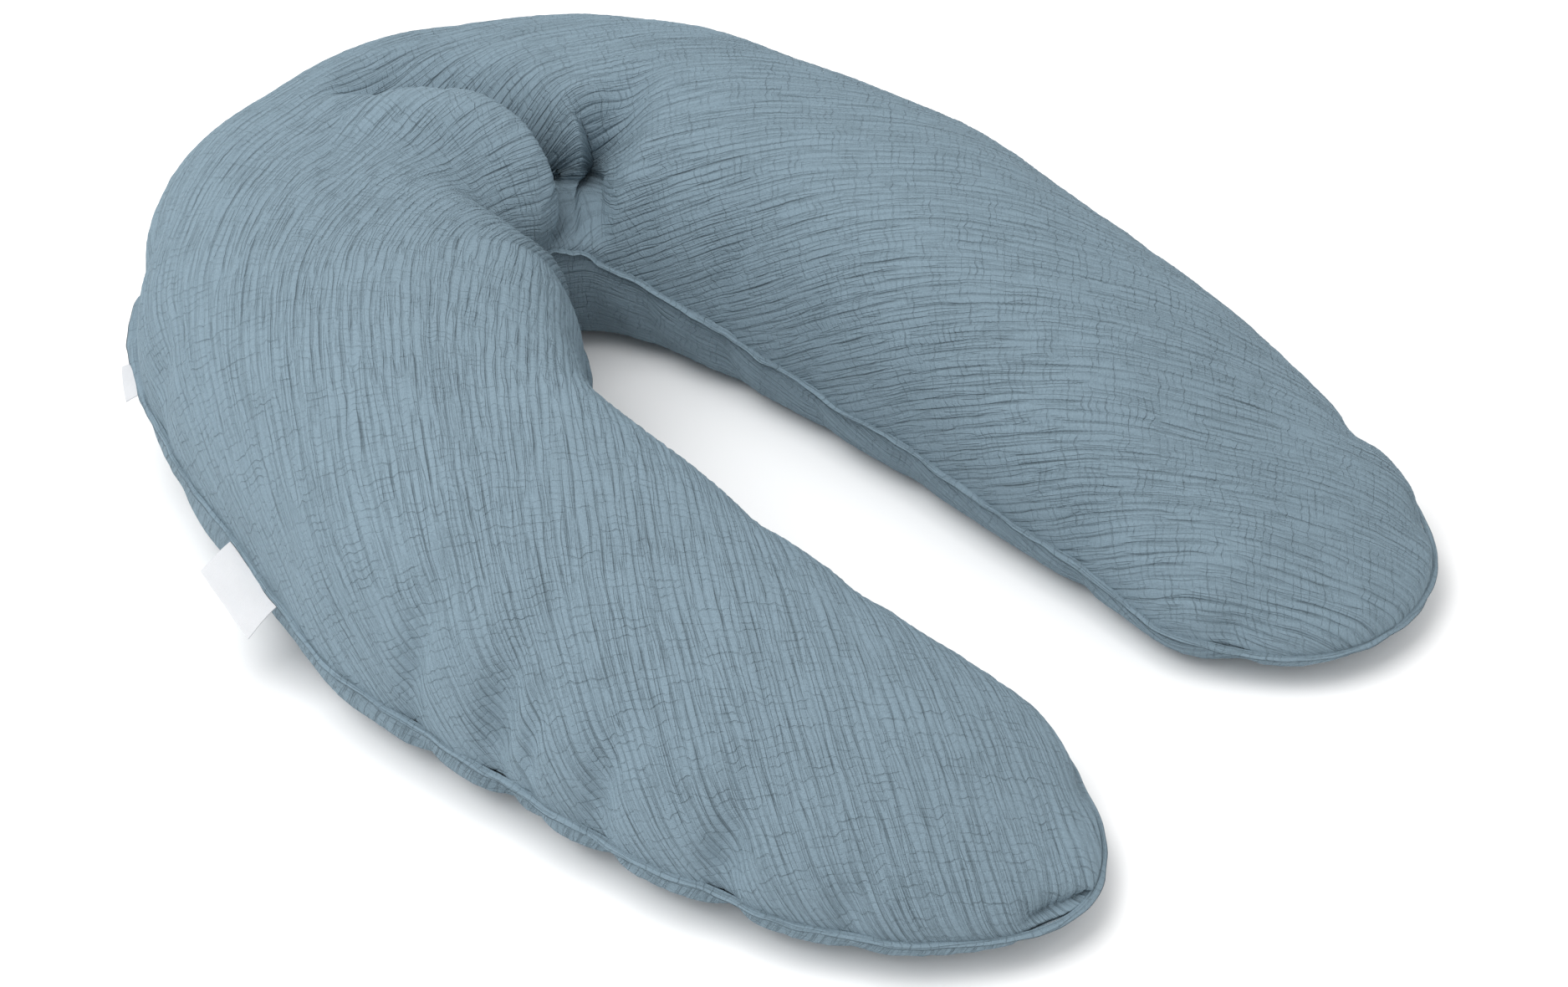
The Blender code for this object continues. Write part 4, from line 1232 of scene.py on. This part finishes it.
STITCH_BARS = (0.10, 0.30, 0.50, 0.70, 0.90)  # a stitch's rings, as shares of one stitch length
STITCH_SIDES, THREAD_RADIUS = 6, 0.0003
STITCH_CLEAR, STITCH_RISE = 0.0004, 0.0005  # off the cloth, and how much more at its middle
STITCH_ROW = {"upper": 0.095, "lower": -0.130}  # height up the section, from -1 to 1


def stitch_row(name, height, count):
    """A row of short bowed threads along the zip, at one height up the section."""
    verts, faces = [], []
    sides, bars = STITCH_SIDES, len(STITCH_BARS)
    for k in range(count):
        for end in STITCH_BARS:
            place = -ZIP_END + 2 * ZIP_END * (k + end) / count
            side = LEFT if place < 0 else RIGHT
            s = np.array([abs(place)])
            z = np.array([height])
            x = (1 - np.abs(z) ** TOP_POWER) ** (1 / TOP_POWER)
            spot = Vector(section(side, s, x, z)[0])
            heading = float(centreline(side, s)[2][0])
            out = Vector((side * math.sin(heading), math.cos(heading), 0))
            lift = STITCH_CLEAR + STITCH_RISE * math.sin(math.pi * (end - 0.1) / 0.8)
            for j in range(sides):
                way = 2 * math.pi * j / sides
                ring = out * math.cos(way) + Vector((0, 0, 1)) * math.sin(way)
                verts.append(spot + out * lift + ring * THREAD_RADIUS)
        for step in range(bars - 1):
            base = (k * bars + step) * sides
            for j in range(sides):
                a, b = base + j, base + (j + 1) % sides
                faces.append((a, b, b + sides, a + sides))
    return mesh_object(name, verts, faces)


class PILLOW_OT_stitches(bpy.types.Operator):
    """Make the two rows of stitches that hold the cover's zip"""
    bl_idname = "pillow.stitches"
    bl_label = "Zip stitches"

    def execute(self, context):
        settings = context.scene.pillow_zips
        finish = once("sewing_thread", thread, tint(tuple(settings.tape_colour), 1.2))
        count = round(2 * ZIP_END / settings.stitch)
        for row, height in STITCH_ROW.items():
            obj = stitch_row(f"zip_stitches_{row}", height, count)
            finish_piece(obj, None, finish)
            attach(obj, "crown")
        return {"FINISHED"}


# A layer inside the cover, such as the bag, stands further in near the tips, by this much over
# this reach, and at the inside of the crown.
TIP_ROOM, TIP_ROOM_REACH, TIP_ROOM_RAMP = 0.010, 0.22, 0.12
BEND_ROOM, BEND_ROOM_END, BEND_ROOM_RAMP = 0.012, 0.30, 0.10
INNER_SPREAD, INNER_EXTRA = 2.0, 0.006  # its folds are wider and deeper than the cover's
BAG_INSETS, BEAD_INSETS = (0.0125, 0.006), (0.0165, 0.010)  # from the cover, all round and on top


def filled_tube(name, side, spacing, inset, top_inset):
    """A closed tube inside the cover, which follows the same folds."""
    top, under = top_sweep(30), under_sweep(26)
    x = np.concatenate([top[0][:-1], under[0][::-1][:-1]])
    z = np.concatenate([top[1][:-1], under[1][::-1][:-1]])
    places = tip_rows(side, spacing) * (1 - inset / HALF_LENGTH)
    s = np.repeat(places[:, None], len(x), 1)
    xs, zs = (np.repeat(a[None, :], len(places), 0) for a in (x, z))
    points = section(side, s, xs, zs)
    mx, my, _ = centreline(side, s)
    middle = np.stack([mx, my, fullness(side, s, SEAM)], -1)
    away = points - middle
    size = np.maximum(np.linalg.norm(away, axis=-1, keepdims=True), 1e-9)
    shrink = np.where(zs >= 0, top_inset + (inset - top_inset) * np.abs(xs) ** 3, inset)
    shrink = shrink + TIP_ROOM * smooth((s - (HALF_LENGTH - TIP_ROOM_REACH)) / TIP_ROOM_RAMP)
    at_bend = smooth((-xs - 0.4) / 0.4) * smooth((BEND_ROOM_END - s) / BEND_ROOM_RAMP)
    shrink = shrink + BEND_ROOM * at_bend
    shrink = np.minimum(shrink, size[..., 0] * 0.9)
    points = points - away / size * shrink[..., None]
    points[..., 2] = np.where(zs < -0.98, np.maximum(points[..., 2], inset * 0.5), points[..., 2])
    points = sculpt(points, away / size, INNER_SPREAD, INNER_EXTRA)
    count = len(x)
    faces = grid_faces(len(places), count, side == RIGHT, closed=True)
    around = np.repeat(np.arange(count)[None, :] * 0.01, len(places), 0)
    return mesh_object(name, points.reshape(-1, 3), faces, plane(s, around).reshape(-1, 2))


def inner_layer(context, name, insets, finish, nodes):
    """Both halves of a layer inside the cover, which stands for these nodes on every body."""
    for side in (LEFT, RIGHT):
        obj = filled_tube(f"{name}_{WORD[side]}", side, context.scene.pillow_fill.spacing, *insets)
        stands_for = [f"{node}_{ARM[side]}" for node in nodes]
        if side == LEFT:
            stands_for += [f"{node}_crown" for node in nodes]
        finish_piece(obj, side, finish, stands_for)


class PILLOW_OT_bag(bpy.types.Operator):
    """Make the plain cotton bag inside the cover"""
    bl_idname = "pillow.bag"
    bl_label = "Inner bag"

    def execute(self, context):
        settings = context.scene.pillow_fill
        finish = once("bag_plain_cotton", plain_cotton, tuple(settings.bag_colour))
        inner_layer(context, "inner_bag", BAG_INSETS, finish, ("bag_top", "bag_bottom"))
        return {"FINISHED"}


class PILLOW_OT_beads(bpy.types.Operator):
    """Make the foam bead fill inside the bag"""
    bl_idname = "pillow.beads"
    bl_label = "Bead fill"

    def execute(self, context):
        settings = context.scene.pillow_fill
        finish = once("foam_bead_fill", foam_beads, tuple(settings.bead_colour))
        inner_layer(context, "foam_beads", BEAD_INSETS, finish, ("bead_fill",))
        return {"FINISHED"}


def aimed(obj, place, aim):
    """A light or camera put at a place, looking at another."""
    obj.location = place
    obj.rotation_euler = (Vector(aim) - Vector(place)).to_track_quat("-Z", "Y").to_euler()
    bpy.context.scene.collection.objects.link(obj)
    return obj


LIGHTS = (
    # name, place, size, share of the main light's power
    ("main_light", (-0.85, 0.15, 1.9), 1.5, 1.0),
    ("front_light", (-1.6, -1.5, 2.2), 2.2, 0.06),
)
LIGHT_AIM = (0, 0, 0.1)
FLOOR_HALF, FLOOR_SQUARES, FLOOR_DROP = 6.0, 24, 0.0006


class PILLOW_OT_stage(bpy.types.Operator):
    """Make the floor, the studio lights and the camera"""
    bl_idname = "pillow.stage"
    bl_label = "Stage"

    def execute(self, context):
        settings = context.scene.pillow_stage
        mesh = bpy.data.meshes.new("floor")
        grid = bmesh.new()
        bmesh.ops.create_grid(
            grid, x_segments=FLOOR_SQUARES, y_segments=FLOOR_SQUARES, size=FLOOR_HALF)
        grid.to_mesh(mesh)
        grid.free()
        floor = bpy.data.objects.new("floor", mesh)
        floor.location.z = -FLOOR_DROP
        context.scene.collection.objects.link(floor)
        mesh.materials.append(once("pale_floor", stage_floor, tuple(settings.floor_colour)))
        world = bpy.data.worlds.new("studio")
        world.use_nodes = True
        back = world.node_tree.nodes["Background"]
        back.inputs["Color"].default_value = (1.0, 1.0, 1.0, 1.0)
        back.inputs["Strength"].default_value = settings.room
        context.scene.world = world
        for name, place, size, share in LIGHTS:
            data = bpy.data.lights.new(name, "AREA")
            data.shape = "SQUARE"
            data.size = size
            data.energy = settings.key * share
            aimed(bpy.data.objects.new(name, data), place, LIGHT_AIM)
        camera = bpy.data.cameras.new("camera")
        camera.lens = settings.lens
        camera.sensor_width = 36.0
        camera.clip_start, camera.clip_end = 0.05, 60.0
        context.scene.camera = aimed(
            bpy.data.objects.new("camera", camera), settings.camera_place, settings.camera_aim)
        context.scene.view_settings.view_transform = "Standard"
        return {"FINISHED"}


OPERATORS = (
    PILLOW_OT_cover,
    PILLOW_OT_seam,
    PILLOW_OT_labels,
    PILLOW_OT_zips,
    PILLOW_OT_stitches,
    PILLOW_OT_bag,
    PILLOW_OT_beads,
    PILLOW_OT_stage,
)
SETTINGS = {
    "pillow_cloth": PillowClothSettings,
    "pillow_seam": PillowSeamSettings,
    "pillow_labels": PillowLabelSettings,
    "pillow_zips": PillowZipSettings,
    "pillow_fill": PillowFillSettings,
    "pillow_stage": PillowStageSettings,
}


class PILLOW_PT_panel(bpy.types.Panel):
    """Lists the pillow's pieces and settings"""
    bl_idname = "PILLOW_PT_panel"
    bl_label = "Nursing Pillow"
    bl_space_type = "VIEW_3D"
    bl_region_type = "UI"
    bl_category = "Pillow"

    def draw(self, context):
        for operator in OPERATORS:
            self.layout.operator(operator.bl_idname)
        for name, kind in SETTINGS.items():
            box = self.layout.box()
            for setting in kind.__annotations__:
                box.prop(getattr(context.scene, name), setting)


def register():
    """Adds the settings, the operators and the panel."""
    for kind in (*SETTINGS.values(), *OPERATORS, PILLOW_PT_panel):
        bpy.utils.register_class(kind)
    for name, kind in SETTINGS.items():
        setattr(bpy.types.Scene, name, PointerProperty(type=kind))


def unregister():
    """Takes them away again."""
    for name in SETTINGS:
        delattr(bpy.types.Scene, name)
    for kind in (PILLOW_PT_panel, *reversed(OPERATORS), *reversed(list(SETTINGS.values()))):
        bpy.utils.unregister_class(kind)


def main():
    """Makes every piece in order."""
    register()
    for operator in OPERATORS:
        group, name = operator.bl_idname.split(".")
        getattr(getattr(bpy.ops, group), name)()


if __name__ == "__main__":
    main()
